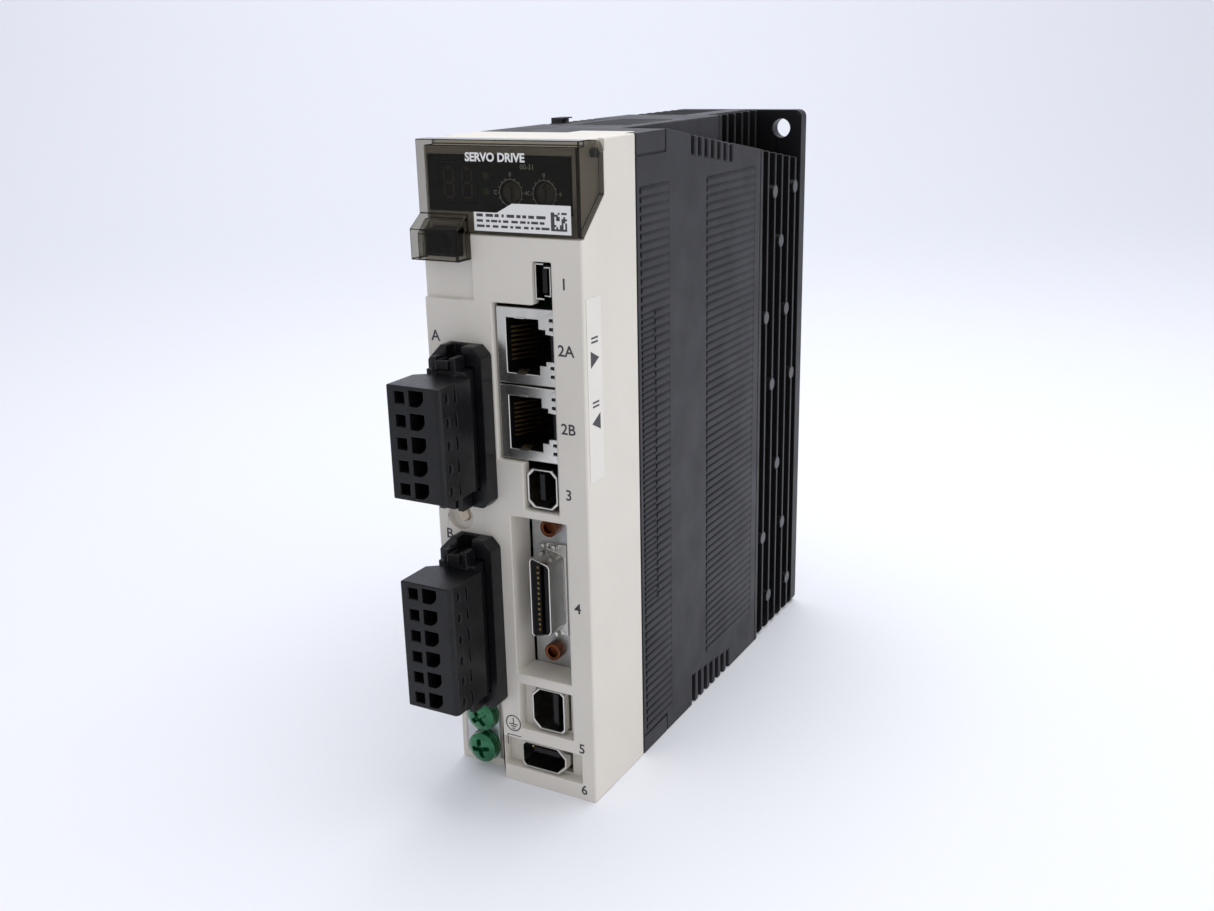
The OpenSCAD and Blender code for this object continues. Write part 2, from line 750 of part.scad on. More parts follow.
module scale_shell() {
    color("silver") difference() {
        along_y([0.5, 14]) scale_outline(0);
        along_y([0, 15]) scale_outline(0.45);
    }
}

module scale_insert() {
    color("#101010") {
        along_y([10, 14]) scale_outline(0.45);
        span([scale_c[0] + 0.6, scale_c[0] + 1.9], [2, 10 + eps],
             [scale_c[1] - 3.8, scale_c[1] + 3.8]);
    }
}

module encoder_outline(g) {
    cut_rect(encoder_c, [encoder_s[0] - 2 * g, encoder_s[1] - 2 * g], [0.7, 2.1, 2.1, 0.7]);
}

module encoder_shell() {
    color("silver") difference() {
        along_y([0.5, 14]) encoder_outline(0);
        along_y([0, 15]) encoder_outline(0.45);
    }
}

module encoder_insert() {
    color("#101010") {
        along_y([10, 14]) encoder_outline(0.45);
        span([encoder_c[0] - 3.6, encoder_c[0] + 3.6], [2, 10 + eps],
             [encoder_c[1] + 0.3, encoder_c[1] + 1.5]);
    }
}

// ---- Power headers and plugs ----

module header(mid, poles) {
    h = flange_half(poles);
    body = block_half(poles) + 3.4;
    room = block_half(poles) + 1.2;
    color("#18181a") difference() {
        union() {
            along_y([-flange_t, 0])
                cut_rect([plug_x + 0.1, mid], [14, 2 * h], [1.5, 1.5, 2, 3.4]);
            span(about(plug_x, 11.8), [-eps, shroud_y + 2], [mid - body, mid + body]);
        }
        // hollow that the plug goes into
        span(about(plug_x, neck_w + 2 * gap), [-flange_t - 1, shroud_y], [mid - room, mid + room]);
        // notches that the latch noses lie in, open at both ends of the flange
        for (s = [-1, 1])
            span(about(plug_x, latch_w + 0.7), [-flange_t - 1, -0.8],
                 sorted(mid + s * (room - 1), mid + s * (h + 1)));
        pins(mid, poles, [0, 40]);
    }
}
module power_header() { header(power_z, power_poles); }
module motor_header() { header(motor_z, motor_poles); }

// Square pins of a header, straight along y
module pins(mid, poles, y) {
    for (k = [0 : poles - 1])
        span([plug_x - pin_s / 2, plug_x + pin_s / 2], y,
             [pole_z(mid, poles, k) - pin_s / 2, pole_z(mid, poles, k) + pin_s / 2]);
}

// Header pins with their tails bent down to the power board
module header_pins(mid, poles) {
    bend = shroud_y + 5;
    color("#c9c6bd") {
        pins(mid, poles, [-1.5, bend]);
        for (k = [0 : poles - 1])
            span([power_board_x + board_t, plug_x + pin_s / 2], [bend - eps, bend + pin_s],
                 [pole_z(mid, poles, k) - pin_s / 2, pole_z(mid, poles, k) + pin_s / 2]);
    }
}
module power_header_pins() { header_pins(power_z, power_poles); }
module motor_header_pins() { header_pins(motor_z, motor_poles); }

// A spring-clamp plug: wide front block with a wire hole and a driver hole for each pole,
// and a narrow neck that goes into the header
module plug(mid, poles) {
    h = block_half(poles);
    left = plug_x - plug_w / 2;
    right = plug_x + plug_w / 2;
    color("#1b1b1e") difference() {
        union() {
            translate([0, 0, mid - h]) linear_extrude(2 * h) polygon([
                [left, -plug_out], [right - 0.7, -plug_out], [right, -plug_out + 0.7],
                [right, neck_y], [left + 3.6, neck_y], [left, neck_y - 2.6]
            ]);
            span(about(plug_x, neck_w), [neck_y - eps, plug_rear], [mid - h - 0.9, mid + h + 0.9]);
            // cheeks beside each latch
            for (s = [0, 1], x = [-1, 1])
                span(about(plug_x + x * (latch_w / 2 + 0.15 + cheek_w / 2), cheek_w),
                     [neck_y - 0.6, -flange_t - 0.4],
                     sorted(mid + (2 * s - 1) * (h - 1), mid + (2 * s - 1) * (h + latch_h[s])));
        }
        for (k = [0 : poles - 1]) {
            z = pole_z(mid, poles, k);
            span([left + 1.9, left + 4.4], [-plug_out - 1, -plug_out + 7], [z - 1.3, z + 1.2]);
            driver_hole(left + 5.7, z);
            span([right - 0.8, right + 1], [-plug_out + 2.2, -plug_out + 3.3], [z - 0.9, z + 0.9]);
            span([right - 0.5, right + 1], [-plug_out + 5.6, -plug_out + 6.2], [z - 1.7, z + 1.5]);
            // clamp cell, open to the pin at the rear
            span([left + 2.4, right - 2.4], [-plug_out + 7 - eps, -2.4], [z - 1.9, z + 1.9]);
            span(about(plug_x, 1.8), [-3, plug_rear + 1], [z - 0.9, z + 0.9]);
        }
        // seats of the latch pins
        for (s = [-1, 1])
            rod_x(latch_y, mid + s * (h + latch_rise), latch_pin_r + pin_gap,
                  [plug_x - 6, plug_x + 6]);
    }
}
function sorted(a, b) = [min(a, b), max(a, b)];
module power_plug() { plug(power_z, power_poles); }
module motor_plug() { plug(motor_z, motor_poles); }

// Driver hole: square to the upper left, round to the right and below
module driver_hole(x, z) {
    w = 3.7;
    along_y([-plug_out - 1, -plug_out + 7]) intersection() {
        translate([x, z - 1.75]) square([w, 3.5]);
        translate([x + 1.1, z + 0.9]) circle(r = 2.75);
    }
}

// Bent cage-clamp springs, one for each pole
module clamps(mid, poles) {
    t = 0.5;
    left = plug_x - plug_w / 2 + 2.6;
    right = plug_x + plug_w / 2 - 2.6;
    y = [-plug_out + 8, -3];
    color("#b8b8b4") for (k = [0 : poles - 1]) {
        z = pole_z(mid, poles, k);
        translate([0, 0, z - 1.5]) linear_extrude(3) polygon([
            [left, y[0]], [left + t, y[0]], [left + t, y[1] - t], [right - t, y[1] - t],
            [right - t, y[0] + 1.4], [left + 2.6, y[0] + 2.6], [left + 2.4, y[0] + 2.1],
            [right, y[0] + 0.8], [right, y[1]], [left, y[1]]
        ]);
    }
}
module power_plug_clamps() { clamps(power_z, power_poles); }
module motor_plug_clamps() { clamps(motor_z, motor_poles); }

// Rocking latch: a thumb pad in front, a pivot pin, and a nose in the header's notch.
// side is 1 for the upper latch and 0 for the lower one
module latch(mid, poles, side) {
    h = block_half(poles);
    w = about(plug_x, latch_w);
    axis = h + latch_rise;
    front = neck_y - 1.2;
    color("#0f0f10") translate([0, 0, mid]) mirror([0, 0, 1 - side]) {
        span(w, [front, front + 1.1], [h + latch_pad, h + latch_h[side] - 0.6]);
        span(w, [front + 1.1 - eps, -1.2], [axis - 0.7, axis + 0.5]);
        for (x = [w[0], w[1] - 0.8])
            span([x, x + 0.8], [front + 1.1 - eps, latch_y + 0.6], [axis, h + latch_h[side] - 0.6]);
        rod_x(latch_y, axis, latch_pin_r, about(plug_x, latch_w + 2 * cheek_w));
    }
}
module power_latch_top() { latch(power_z, power_poles, 1); }
module power_latch_bottom() { latch(power_z, power_poles, 0); }
module motor_latch_top() { latch(motor_z, motor_poles, 1); }
module motor_latch_bottom() { latch(motor_z, motor_poles, 0); }

// ---- Earth terminals ----

module earth_plate() {
    color("#c4c4c0") difference() {
        union() {
            span([earth_x[0], earth_x[1]], [earth_y, earth_y + 1.2], [wall, earth_h - 0.4]);
            // pillars that the screws bite into
            for (z = earth_screw_z) rod_y(earth_screw_x, z, 2.1, [earth_y + 1.2 - eps, 10]);
        }
        for (z = earth_screw_z) rod_y(earth_screw_x, z, 1.65, [earth_y - 1, 11]);
    }
}

module earth_washers() {
    color("#1d7a45") for (z = earth_screw_z) difference() {
        rod_y(earth_screw_x, z, 4, [earth_y - 0.8, earth_y]);
        rod_y(earth_screw_x, z, 1.65, [earth_y - 1, earth_y + 1]);
    }
}

module earth_screws() {
    head = [earth_y - 3.4, earth_y - 0.8];
    color("#0f6b38") for (z = earth_screw_z) difference() {
        union() {
            rod_y(earth_screw_x, z, 3.8, [head[0] + 0.7, head[1]]);
            translate([earth_screw_x, head[0] + 0.7, z]) rotate([90, 0, 0])
                cylinder(r1 = 3.8, r2 = 2.7, h = 0.7);
            rod_y(earth_screw_x, z, 1.65, [head[1] - eps, 9.6]);
        }
        for (s = [[1.9, 0.45], [0.45, 1.9]])
            span([earth_screw_x - s[0], earth_screw_x + s[0]], [head[0] - 1, head[0] + 1.5],
                 [z - s[1], z + s[1]]);
    }
}

// ---- Electronics ----

board_back = 62;
module control_board() {
    top = display_z - 2.4;
    step = io_face_y + 1.2;
    // the front edge steps back behind the deep pocket and the thick lower face
    color("#1d5c3a") along_x([board_x, board_x + board_t]) polygon([
        [step, 4], [board_back, 4], [board_back, top], [wall + 2, top],
        [wall + 2, io_z[1] + 3], [step, io_z[1] + 3]
    ]);
}

module power_board() {
    color("#1b5236")
        span([power_board_x, power_board_x + board_t], [power_board_y, 88], [24, body_h - 8]);
}

board_link_z = [30, 62];
module board_link() {
    color("#16161a") span([power_board_x + board_t, board_x], [54, 60], board_link_z);
}

cap_x = [power_board_x + board_t, board_x - 2];
module bus_capacitors() {
    color("#27303f") for (z = [40, 60, 80])
        rod_x(38, z, 8.6, cap_x);
}

module transformer() {
    x = [power_board_x + board_t, power_board_x + board_t + 17];
    color("#c9a227") span([x[0], x[1]], [52, 68], [98, 114]);
    color("#33363b") {
        span([x[0], x[1] - 2], [48, 52], [96, 116]);
        span([x[0], x[1] - 2], [68, 72], [96, 116]);
    }
}

module charge_relay() {
    color("#22313f") span([power_board_x + board_t, power_board_x + board_t + 15.4],
                          [28, 38], [98, 117]);
}

module_screw_z = [40, 98];
module_x = [7, body_w - 6];                     // block of the heatsink behind the module
module_z = [36, 102];
module power_module() {
    color("#2a2a2c") difference() {
        union() {
            span(grow(module_x, -2), [boss_y - 6.3, boss_y - 0.3], module_z);
            // leads that turn to the power board
            for (k = [0:9])
                span([power_board_x + board_t, module_x[0] + 2 + eps], [boss_y - 5, boss_y - 4.2],
                     [42 + k * 5.6, 43.2 + k * 5.6]);
        }
        for (z = module_screw_z) rod_y(body_w / 2, z, 1.6, [boss_y - 8, boss_y + 1]);
    }
}

module thermal_pad() {
    color("#b7b7c4") difference() {
        span(grow(module_x, -2), [boss_y - 0.3, boss_y], module_z);
        for (z = module_screw_z) rod_y(body_w / 2, z, 1.6, [boss_y - 8, boss_y + 1]);
    }
}

module module_screws() {
    color("silver") for (z = module_screw_z) {
        rod_y(body_w / 2, z, 1.5, [boss_y - 6.4, boss_y + 4.6]);
        rod_y(body_w / 2, z, 2.8, [boss_y - 8.3, boss_y - 6.3]);
    }
}

in_frame() front_cover();
in_frame() main_housing();
in_frame() heatsink();
in_frame() side_sticker();
in_frame() display_cover();
in_frame() rating_sticker();
in_frame() cover_pins();
in_frame() display_panel();
in_frame() digit_display();
in_frame() status_lamps();
in_frame() monitor_socket();
in_frame() address_switches();
in_frame() address_dial_tens();
in_frame() address_dial_units();
in_frame() charge_lamp();
in_frame() usb_shell();
in_frame() usb_tongue();
in_frame() lan_shields();
in_frame() lan_inserts();
in_frame() lan_contacts();
in_frame() safety_shell();
in_frame() safety_insert();
in_frame() io_shell();
in_frame() io_insert();
in_frame() io_pins();
in_frame() io_bracket();
in_frame() io_jackscrews();
in_frame() scale_shell();
in_frame() scale_insert();
in_frame() encoder_shell();
in_frame() encoder_insert();
in_frame() power_header();
in_frame() power_header_pins();
in_frame() motor_header();
in_frame() motor_header_pins();
in_frame() power_plug();
in_frame() power_plug_clamps();
in_frame() power_latch_top();
in_frame() power_latch_bottom();
in_frame() motor_plug();
in_frame() motor_plug_clamps();
in_frame() motor_latch_top();
in_frame() motor_latch_bottom();
in_frame() earth_plate();
in_frame() earth_washers();
in_frame() earth_screws();
in_frame() control_board();
in_frame() power_board();
in_frame() board_link();
in_frame() bus_capacitors();
in_frame() transformer();
in_frame() charge_relay();
in_frame() power_module();
in_frame() thermal_pad();
in_frame() module_screws();
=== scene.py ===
"""Looks of a slim panel-mounted servo drive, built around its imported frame.

Inside this file a place is given in millimetres from the drive's front lower left corner:
x runs across the front, y back towards the mounting face, and z up. place() turns such
points into the row frame in metres.
"""

from __future__ import annotations

import json
import logging
import math
from dataclasses import dataclass, field, replace
from enum import Enum

import bmesh
import bpy
import numpy as np
from mathutils import Matrix, Vector

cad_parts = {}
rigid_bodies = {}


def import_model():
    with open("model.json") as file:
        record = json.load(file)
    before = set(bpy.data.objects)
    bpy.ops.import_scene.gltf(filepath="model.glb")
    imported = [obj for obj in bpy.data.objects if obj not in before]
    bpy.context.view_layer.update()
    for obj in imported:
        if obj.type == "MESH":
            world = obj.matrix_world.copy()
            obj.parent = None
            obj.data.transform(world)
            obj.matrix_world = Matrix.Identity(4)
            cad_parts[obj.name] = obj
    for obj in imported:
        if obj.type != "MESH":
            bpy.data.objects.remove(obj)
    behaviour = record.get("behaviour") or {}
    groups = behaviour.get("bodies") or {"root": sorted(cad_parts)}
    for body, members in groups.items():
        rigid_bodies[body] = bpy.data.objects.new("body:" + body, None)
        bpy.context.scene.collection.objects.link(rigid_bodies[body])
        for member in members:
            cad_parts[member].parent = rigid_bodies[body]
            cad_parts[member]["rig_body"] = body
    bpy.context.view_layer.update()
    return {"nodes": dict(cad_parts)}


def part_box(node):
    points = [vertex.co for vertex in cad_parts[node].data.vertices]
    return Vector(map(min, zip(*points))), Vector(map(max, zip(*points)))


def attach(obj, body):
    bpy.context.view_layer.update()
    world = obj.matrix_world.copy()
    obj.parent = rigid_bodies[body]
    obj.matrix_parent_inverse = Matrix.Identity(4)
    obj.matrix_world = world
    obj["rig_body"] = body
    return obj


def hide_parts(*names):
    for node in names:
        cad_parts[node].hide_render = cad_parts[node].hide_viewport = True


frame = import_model()
CORNER = np.array(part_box("front_cover")[0])
MM = 0.001
MERGE_M = 2e-6  # points of a CAD mesh closer than this, in metres, are one
FLAT_DEG = 0.6  # faces that meet at a smaller angle than this are one
EDGE_SHARE = 0.42  # greatest radius of a rounding, as a share of the shortest edge that meets it
INK_T = 0.03  # thickness of a printed line in millimetres
SUNK = 0.01  # how far a printed line reaches into the face under it, in millimetres

log = logging.getLogger("servo_drive")

Faces = list[tuple[int, ...]]
Tree = bpy.types.NodeTree
Socket = bpy.types.NodeSocket
Solid = tuple[np.ndarray, Faces]


class Body(Enum):
    """The bodies of the frame that new pieces ride on."""

    ROOT = "root"
    COVER = "display_cover"


class Side(Enum):
    """The two long sides of the drive, with the way that each faces along x."""

    LEFT = -1
    RIGHT = 1


# ---- Small tools ----


def place(points: np.ndarray) -> np.ndarray:
    """Turns corner millimetres into row-frame metres: scaled, then moved to the corner."""
    return np.asarray(points, float) * MM + CORNER


def box_mm(node: str) -> tuple[np.ndarray, np.ndarray]:
    """Lowest and highest corner of a node in corner millimetres."""
    low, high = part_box(node)
    return (np.array(low) - CORNER) / MM, (np.array(high) - CORNER) / MM


def linear(colour: str) -> tuple[float, float, float, float]:
    """Turns an sRGB hex colour into linear light with full alpha."""
    value = colour.lstrip("#")
    channels = np.array([int(value[i:i + 2], 16) for i in (0, 2, 4)]) / 255
    light = np.where(channels <= 0.04045, channels / 12.92, ((channels + 0.055) / 1.055) ** 2.4)
    return (*light.tolist(), 1.0)


def add(tree: Tree, kind: str, links: dict | None = None, **settings) -> bpy.types.Node:
    """Adds one shader node.

    Args:
        tree: the material's node tree.
        kind: the node's type name without its ShaderNode prefix.
        links: for each input, a socket to link or a constant to set.
        settings: the node's own properties.

    Returns:
        The new node.
    """
    node = tree.nodes.new("ShaderNode" + kind)
    for key, value in settings.items():
        setattr(node, key, value)
    for key, value in (links or {}).items():
        socket = node.inputs[key]
        if isinstance(value, Socket):
            tree.links.new(value, socket)
        else:
            socket.default_value = value
    return node


# ---- Finishes ----


@dataclass(frozen=True)
class Finish:
    """A surface, told by what the real one is made of and how.

    Sizes are in millimetres. The colour drifts between a darker and a lighter tone over
    drift_mm, the grain is a fine relief of grain_mm and grain_deep, and the roughness
    varies with the drift.
    """

    name: str
    colour: str
    roughness: float
    metallic: float = 0.0
    ior: float = 1.5
    drift: float = 0.05
    drift_mm: float = 14.0
    grain_mm: float = 0.4
    grain_deep: float = 0.004
    coat: float = 0.0
    specular: float = 0.5
    glow: float = 0.0
    stretch: tuple[float, float, float] = (1.0, 1.0, 1.0)

    def tone(self, tree: Tree, where: Socket) -> Socket:
        """Colour of the surface: a darker and a lighter tone mixed by a broad noise."""
        broad = add(tree, "TexNoise", {
            "Vector": where, "Scale": 1 / (self.drift_mm * MM), "Detail": 3.0})
        base = np.array(linear(self.colour)[:3])
        low = (*(base * (1 - self.drift)).tolist(), 1.0)
        high = (*np.clip(base * (1 + self.drift) + self.drift * 0.01, 0, 1).tolist(), 1.0)
        ramp = add(tree, "ValToRGB", {"Fac": broad.outputs["Fac"]})
        for stop, at, colour in zip(ramp.color_ramp.elements, (0.3, 0.7), (low, high)):
            stop.position = at
            stop.color = colour
        return ramp.outputs["Color"]

    def relief(self, tree: Tree, where: Socket) -> Socket:
        """Normal of the surface, from noise of the grain's size."""
        grain = add(tree, "TexNoise", {
            "Vector": where, "Scale": 1 / (self.grain_mm * MM), "Detail": 2.0, "Roughness": 0.6})
        bump = add(tree, "Bump", {
            "Height": grain.outputs["Fac"], "Strength": 1.0, "Distance": self.grain_deep * MM})
        return bump.outputs["Normal"]

    def gloss(self, tree: Tree, where: Socket) -> Socket:
        """Roughness of the surface, a little uneven from place to place."""
        smear = add(tree, "TexNoise", {
            "Vector": where, "Scale": 1 / (self.drift_mm * 0.6 * MM), "Detail": 4.0})
        spread = add(tree, "MapRange", {
            "Value": smear.outputs["Fac"], "From Min": 0.25, "From Max": 0.75,
            "To Min": self.roughness * 0.86, "To Max": self.roughness * 1.14})
        return spread.outputs["Result"]

    def shine(self, tree: Tree) -> float | Socket:
        """Strength of the clear reflection: the same all over unless a finish says otherwise."""
        return self.specular

    def surface(self, tree: Tree) -> Socket:
        """The whole shader, laid out over Object coordinates stretched along its lay."""
        spot = add(tree, "TexCoord")
        mapping = add(tree, "Mapping", {"Vector": spot.outputs["Object"], "Scale": self.stretch})
        where = mapping.outputs["Vector"]
        shader = add(tree, "BsdfPrincipled", {
            "Base Color": self.tone(tree, where), "Roughness": self.gloss(tree, where),
            "Normal": self.relief(tree, where), "Metallic": self.metallic, "IOR": self.ior,
            "Coat Weight": self.coat, "Specular IOR Level": self.shine(tree),
            "Emission Color": linear(self.colour), "Emission Strength": self.glow})
        return shader.outputs["BSDF"]

    def build(self) -> bpy.types.Material:
        """Makes the material once and returns it after that."""
        made = bpy.data.materials.get(self.name)
        if made:
            return made
        made = bpy.data.materials.new(self.name)
        made.use_nodes = True
        tree = made.node_tree
        tree.nodes.clear()
        add(tree, "OutputMaterial", {"Surface": self.surface(tree)})
        return made


@dataclass(frozen=True)
class GrooveShadePaintedFinish(Finish):
    """A moulding with painted shade in its grooves, read from the piece's own "shade" attribute.
    """

    # painted shade: the near-black colour that the grooves are mixed towards
    painted_groove_shade: str = "#070708"

    def tone(self, tree: Tree, where: Socket) -> Socket:
        """Colour of the surface, mixed towards a near-black painted shade colour by the attribute.
        """
        open_face = super().tone(tree, where)
        shade = add(tree, "Attribute", attribute_name="shade")
        mixed = add(tree, "MixRGB", {
            "Fac": shade.outputs["Fac"], "Color1": open_face, "Color2": linear(self.painted_groove_shade)})
        return mixed.outputs["Color"]

    def shine(self, tree: Tree) -> Socket:
        """Strength of the clear reflection, dimmed by the painted shade in the grooves."""
        shade = add(tree, "Attribute", attribute_name="shade")
        faded = add(tree, "MapRange", {
            "Value": shade.outputs["Fac"], "To Min": self.specular, "To Max": 0.02})
        return faded.outputs["Result"]


@dataclass(frozen=True)
class BoardFinish(Finish):
    """Glass epoxy board: solder mask over tracks, which show as a lighter green grid."""

    track_mm: float = 2.5
    track: str = "#3f8a58"

    def tone(self, tree: Tree, where: Socket) -> Socket:
        """Colour of the mask, lighter where a cell border of a square Voronoi runs."""
        mask = super().tone(tree, where)
        cells = add(tree, "TexVoronoi", {"Vector": where, "Scale": 1 / (self.track_mm * MM)},
                    feature="F1", distance="CHEBYCHEV")
        lines = add(tree, "MapRange", {
            "Value": cells.outputs["Distance"], "From Min": 0.4, "From Max": 0.5})
        mixed = add(tree, "MixRGB", {
            "Fac": lines.outputs["Result"], "Color1": mask, "Color2": linear(self.track)})
        return mixed.outputs["Color"]


@dataclass(frozen=True)
class SmokedFinish(Finish):
    """Clear plastic dyed in the mass: light passes with a tint, and the skin keeps its gloss."""

    tint: str = "#dbd8d2"

    def surface(self, tree: Tree) -> Socket:
        """Mixes a tinted transparent shader with a mirror by the plastic's own reflectance."""
        where = add(tree, "TexCoord").outputs["Object"]
        normal = self.relief(tree, where)
        through = add(tree, "BsdfTransparent", {"Color": linear(self.tint)})
        skin = add(tree, "BsdfPrincipled", {
            "Base Color": self.tone(tree, where), "Roughness": self.gloss(tree, where),
            "Metallic": self.metallic, "Normal": normal})
        share = add(tree, "Fresnel", {"IOR": self.ior, "Normal": normal})
        # light isn't bent here, so the far face of the wall must not mirror it back inside
        side = add(tree, "NewGeometry")
        outside = add(tree, "Math", {0: 1.0, 1: side.outputs["Backfacing"]}, operation="SUBTRACT")
        skin_share = add(tree, "Math", {0: share.outputs["Fac"], 1: outside.outputs["Value"]},
                         operation="MULTIPLY")
        mixed = add(tree, "MixShader", {"Fac": skin_share.outputs["Value"]})
        tree.links.new(through.outputs["BSDF"], mixed.inputs[1])
        tree.links.new(skin.outputs["BSDF"], mixed.inputs[2])
        return mixed.outputs["Shader"]


# Pale ABS front, spark-eroded mould: an even matt skin that keeps a soft sheen
IVORY = Finish("ivory_abs_spark_eroded", "#dad5cc", 0.5, drift=0.02, grain_mm=0.45,
               grain_deep=0.007)
# Dark grey polyphenylene ether housing, fine texture: reads as slate grey, not black
SLATE = Finish("slate_ppe_fine_texture", "#28282c", 0.52, drift=0.05, grain_mm=0.5,
               grain_deep=0.01, specular=0.32)
# The same plastic where it is ribbed, with painted shade darkening its grooves
RIBBED_WITH_PAINTED_SHADE = GrooveShadePaintedFinish("slate_ppe_ribbed_painted_shade", "#2b2b2f", 0.5, drift=0.05, grain_mm=0.5,
                      grain_deep=0.008, specular=0.32)
# Die-cast aluminium under a thin black coat: satin, slightly pebbled by the casting skin
CASTING = Finish("black_coated_diecast", "#111113", 0.4, drift=0.12, grain_mm=0.9, grain_deep=0.02,
                 specular=0.25)
# Where the ejector pins and the trimming bared the casting: dull grey metal
BARE_CAST = Finish("bare_cast_aluminium", "#505154", 0.45, metallic=0.4, drift=0.1, drift_mm=3.0,
                   grain_mm=0.3, grain_deep=0.008)
# Smoked clear polycarbonate: brown-olive, shows what is behind it and keeps a crisp gloss
SMOKE = SmokedFinish("smoked_polycarbonate", "#a3a099", 0.07, metallic=1.0, ior=1.58, drift=0.03,
                     grain_mm=4.0, grain_deep=0.002, tint="#cdcbc5")
# Its rounded edges, where light has come a long way through the sheet: nearly black
SMOKE_RIM = replace(SMOKE, name="smoked_polycarbonate_edge", tint="#4d4a44")
# Satin paper-white label film
LABEL = Finish("label_film_satin", "#e9e8e6", 0.38, drift=0.015, drift_mm=6.0, grain_mm=1.2,
               grain_deep=0.002)
# The long strip on the side: the same film printed in the cover's own shade
STRIP = replace(LABEL, name="label_film_ivory", colour="#e0ddd6", roughness=0.42)
# Screen-printed ink, thin and matt
INK_DARK = Finish("ink_dark_grey", "#3c3c40", 0.6, drift=0.08, drift_mm=1.0, grain_mm=0.2,
                  grain_deep=0.002)
INK_WHITE = replace(INK_DARK, name="ink_white", colour="#e6e6e4", drift=0.04)
# Black polyamide, small mouldings: satin with soft flow marks
BLACK = Finish("black_polyamide", "#0d0d0f", 0.36, drift=0.15, grain_mm=0.4, grain_deep=0.006,
               specular=0.3)
# Smooth printed panel behind the smoked cover
PANEL = Finish("display_panel_satin", "#0a0a0c", 0.3, drift=0.1, grain_mm=1.5, grain_deep=0.001,
               specular=0.2)
# Unlit segments of the display: a touch lighter than their window
SEGMENT = Finish("unlit_segment", "#4c403b", 0.3, drift=0.1, drift_mm=1.0, grain_mm=0.5,
                 grain_deep=0.001)
# Tinted lens of a lamp that is off
LAMP_GREEN = Finish("lamp_lens_green", "#3f5c38", 0.2, drift=0.1, drift_mm=0.8, grain_mm=0.4,
                    grain_deep=0.002, coat=0.5)
LAMP_CLEAR = Finish("light_pipe_frosted", "#cdbfa8", 0.3, drift=0.08, drift_mm=1.5, grain_mm=0.4,
                    grain_deep=0.004, coat=0.3)
# Moulded acetal dial, dull brown
DIAL = Finish("dial_acetal", "#6b6558", 0.35, drift=0.04, drift_mm=1.5, grain_mm=0.3,
              grain_deep=0.003)
# Bright nickel on drawn or folded steel: mirror-like with faint rolling lines
NICKEL = Finish("nickel_plated_steel", "#cfcdc8", 0.24, metallic=1.0, drift=0.06, drift_mm=4.0,
                grain_mm=0.5, grain_deep=0.002, stretch=(1.0, 1.0, 0.2))
# Thin gold over nickel on the jacks' spring wires, darkened with painted shade as they lie deep
# inside the jacks
JACK_WIRE_IN_PAINTED_SHADE = Finish("thin_gold_over_nickel_painted_shade", "#6a5531", 0.35, metallic=1.0, drift=0.08,
                   drift_mm=1.0, grain_mm=0.3, grain_deep=0.002)
# Gold flash on phosphor bronze wires
GOLD = Finish("gold_flash_contacts", "#d9b978", 0.25, metallic=1.0, drift=0.08, drift_mm=1.0,
              grain_mm=0.3, grain_deep=0.002)
# Zinc-plated pressed steel: dull silver with a slight blue
ZINC = Finish("zinc_plated_steel", "#c3c5c6", 0.36, metallic=0.9, drift=0.1, drift_mm=3.0,
              grain_mm=0.6, grain_deep=0.004)
# Yellow chromate over steel, worn towards copper
BRONZE = Finish("yellow_chromate_screw", "#74452d", 0.3, metallic=1.0, drift=0.2, drift_mm=1.2,
                grain_mm=0.3, grain_deep=0.004)
# Glass-filled polyamide of the plugs: satin, a faint fibre mottle
PLUG = Finish("glass_filled_polyamide", "#101013", 0.34, drift=0.2, drift_mm=3.0, grain_mm=0.35,
              grain_deep=0.009, specular=0.3)
TIN = Finish("tin_plated_pins", "#c4c2bb", 0.3, metallic=1.0, drift=0.08, drift_mm=1.5,
             grain_mm=0.4, grain_deep=0.003)
SPRING = Finish("spring_steel_strip", "#9c9c9a", 0.32, metallic=1.0, drift=0.08, drift_mm=2.0,
                grain_mm=0.3, grain_deep=0.003, stretch=(1.0, 0.15, 1.0))
# Green lacquer over steel: deep bottle green with a wet coat
GREEN = Finish("green_lacquered_steel", "#0f6a3e", 0.22, metallic=0.55, drift=0.22, drift_mm=1.6,
               grain_mm=0.5, grain_deep=0.006, coat=0.6)
MASK = BoardFinish("solder_masked_board", "#1b5a37", 0.35, drift=0.08, grain_mm=0.6,
                   grain_deep=0.004)
SLEEVE = Finish("capacitor_shrink_sleeve", "#222a3c", 0.3, drift=0.1, grain_mm=1.5,
                grain_deep=0.01)
TAPE = Finish("polyester_coil_tape", "#c49a2a", 0.28, drift=0.1, grain_mm=1.0, grain_deep=0.008,
              stretch=(1.0, 1.0, 0.2))
RELAY = Finish("relay_case_blue", "#1c2a3d", 0.35, drift=0.06, grain_mm=0.5, grain_deep=0.005)
EPOXY = Finish("module_epoxy", "#202022", 0.5, drift=0.1, grain_mm=0.3, grain_deep=0.01)
SILICONE = Finish("thermal_silicone_pad", "#a9a9b6", 0.7, drift=0.06, grain_mm=0.7,
                  grain_deep=0.02)


# ---- Making pieces ----


def body_of_node(node: str) -> str:
    """Name of the body that a CAD node belongs to."""
    return frame["nodes"][node]["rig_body"]


def report(piece: bpy.types.Object) -> bpy.types.Object:
    """Returns a finished piece as it is."""
    return piece


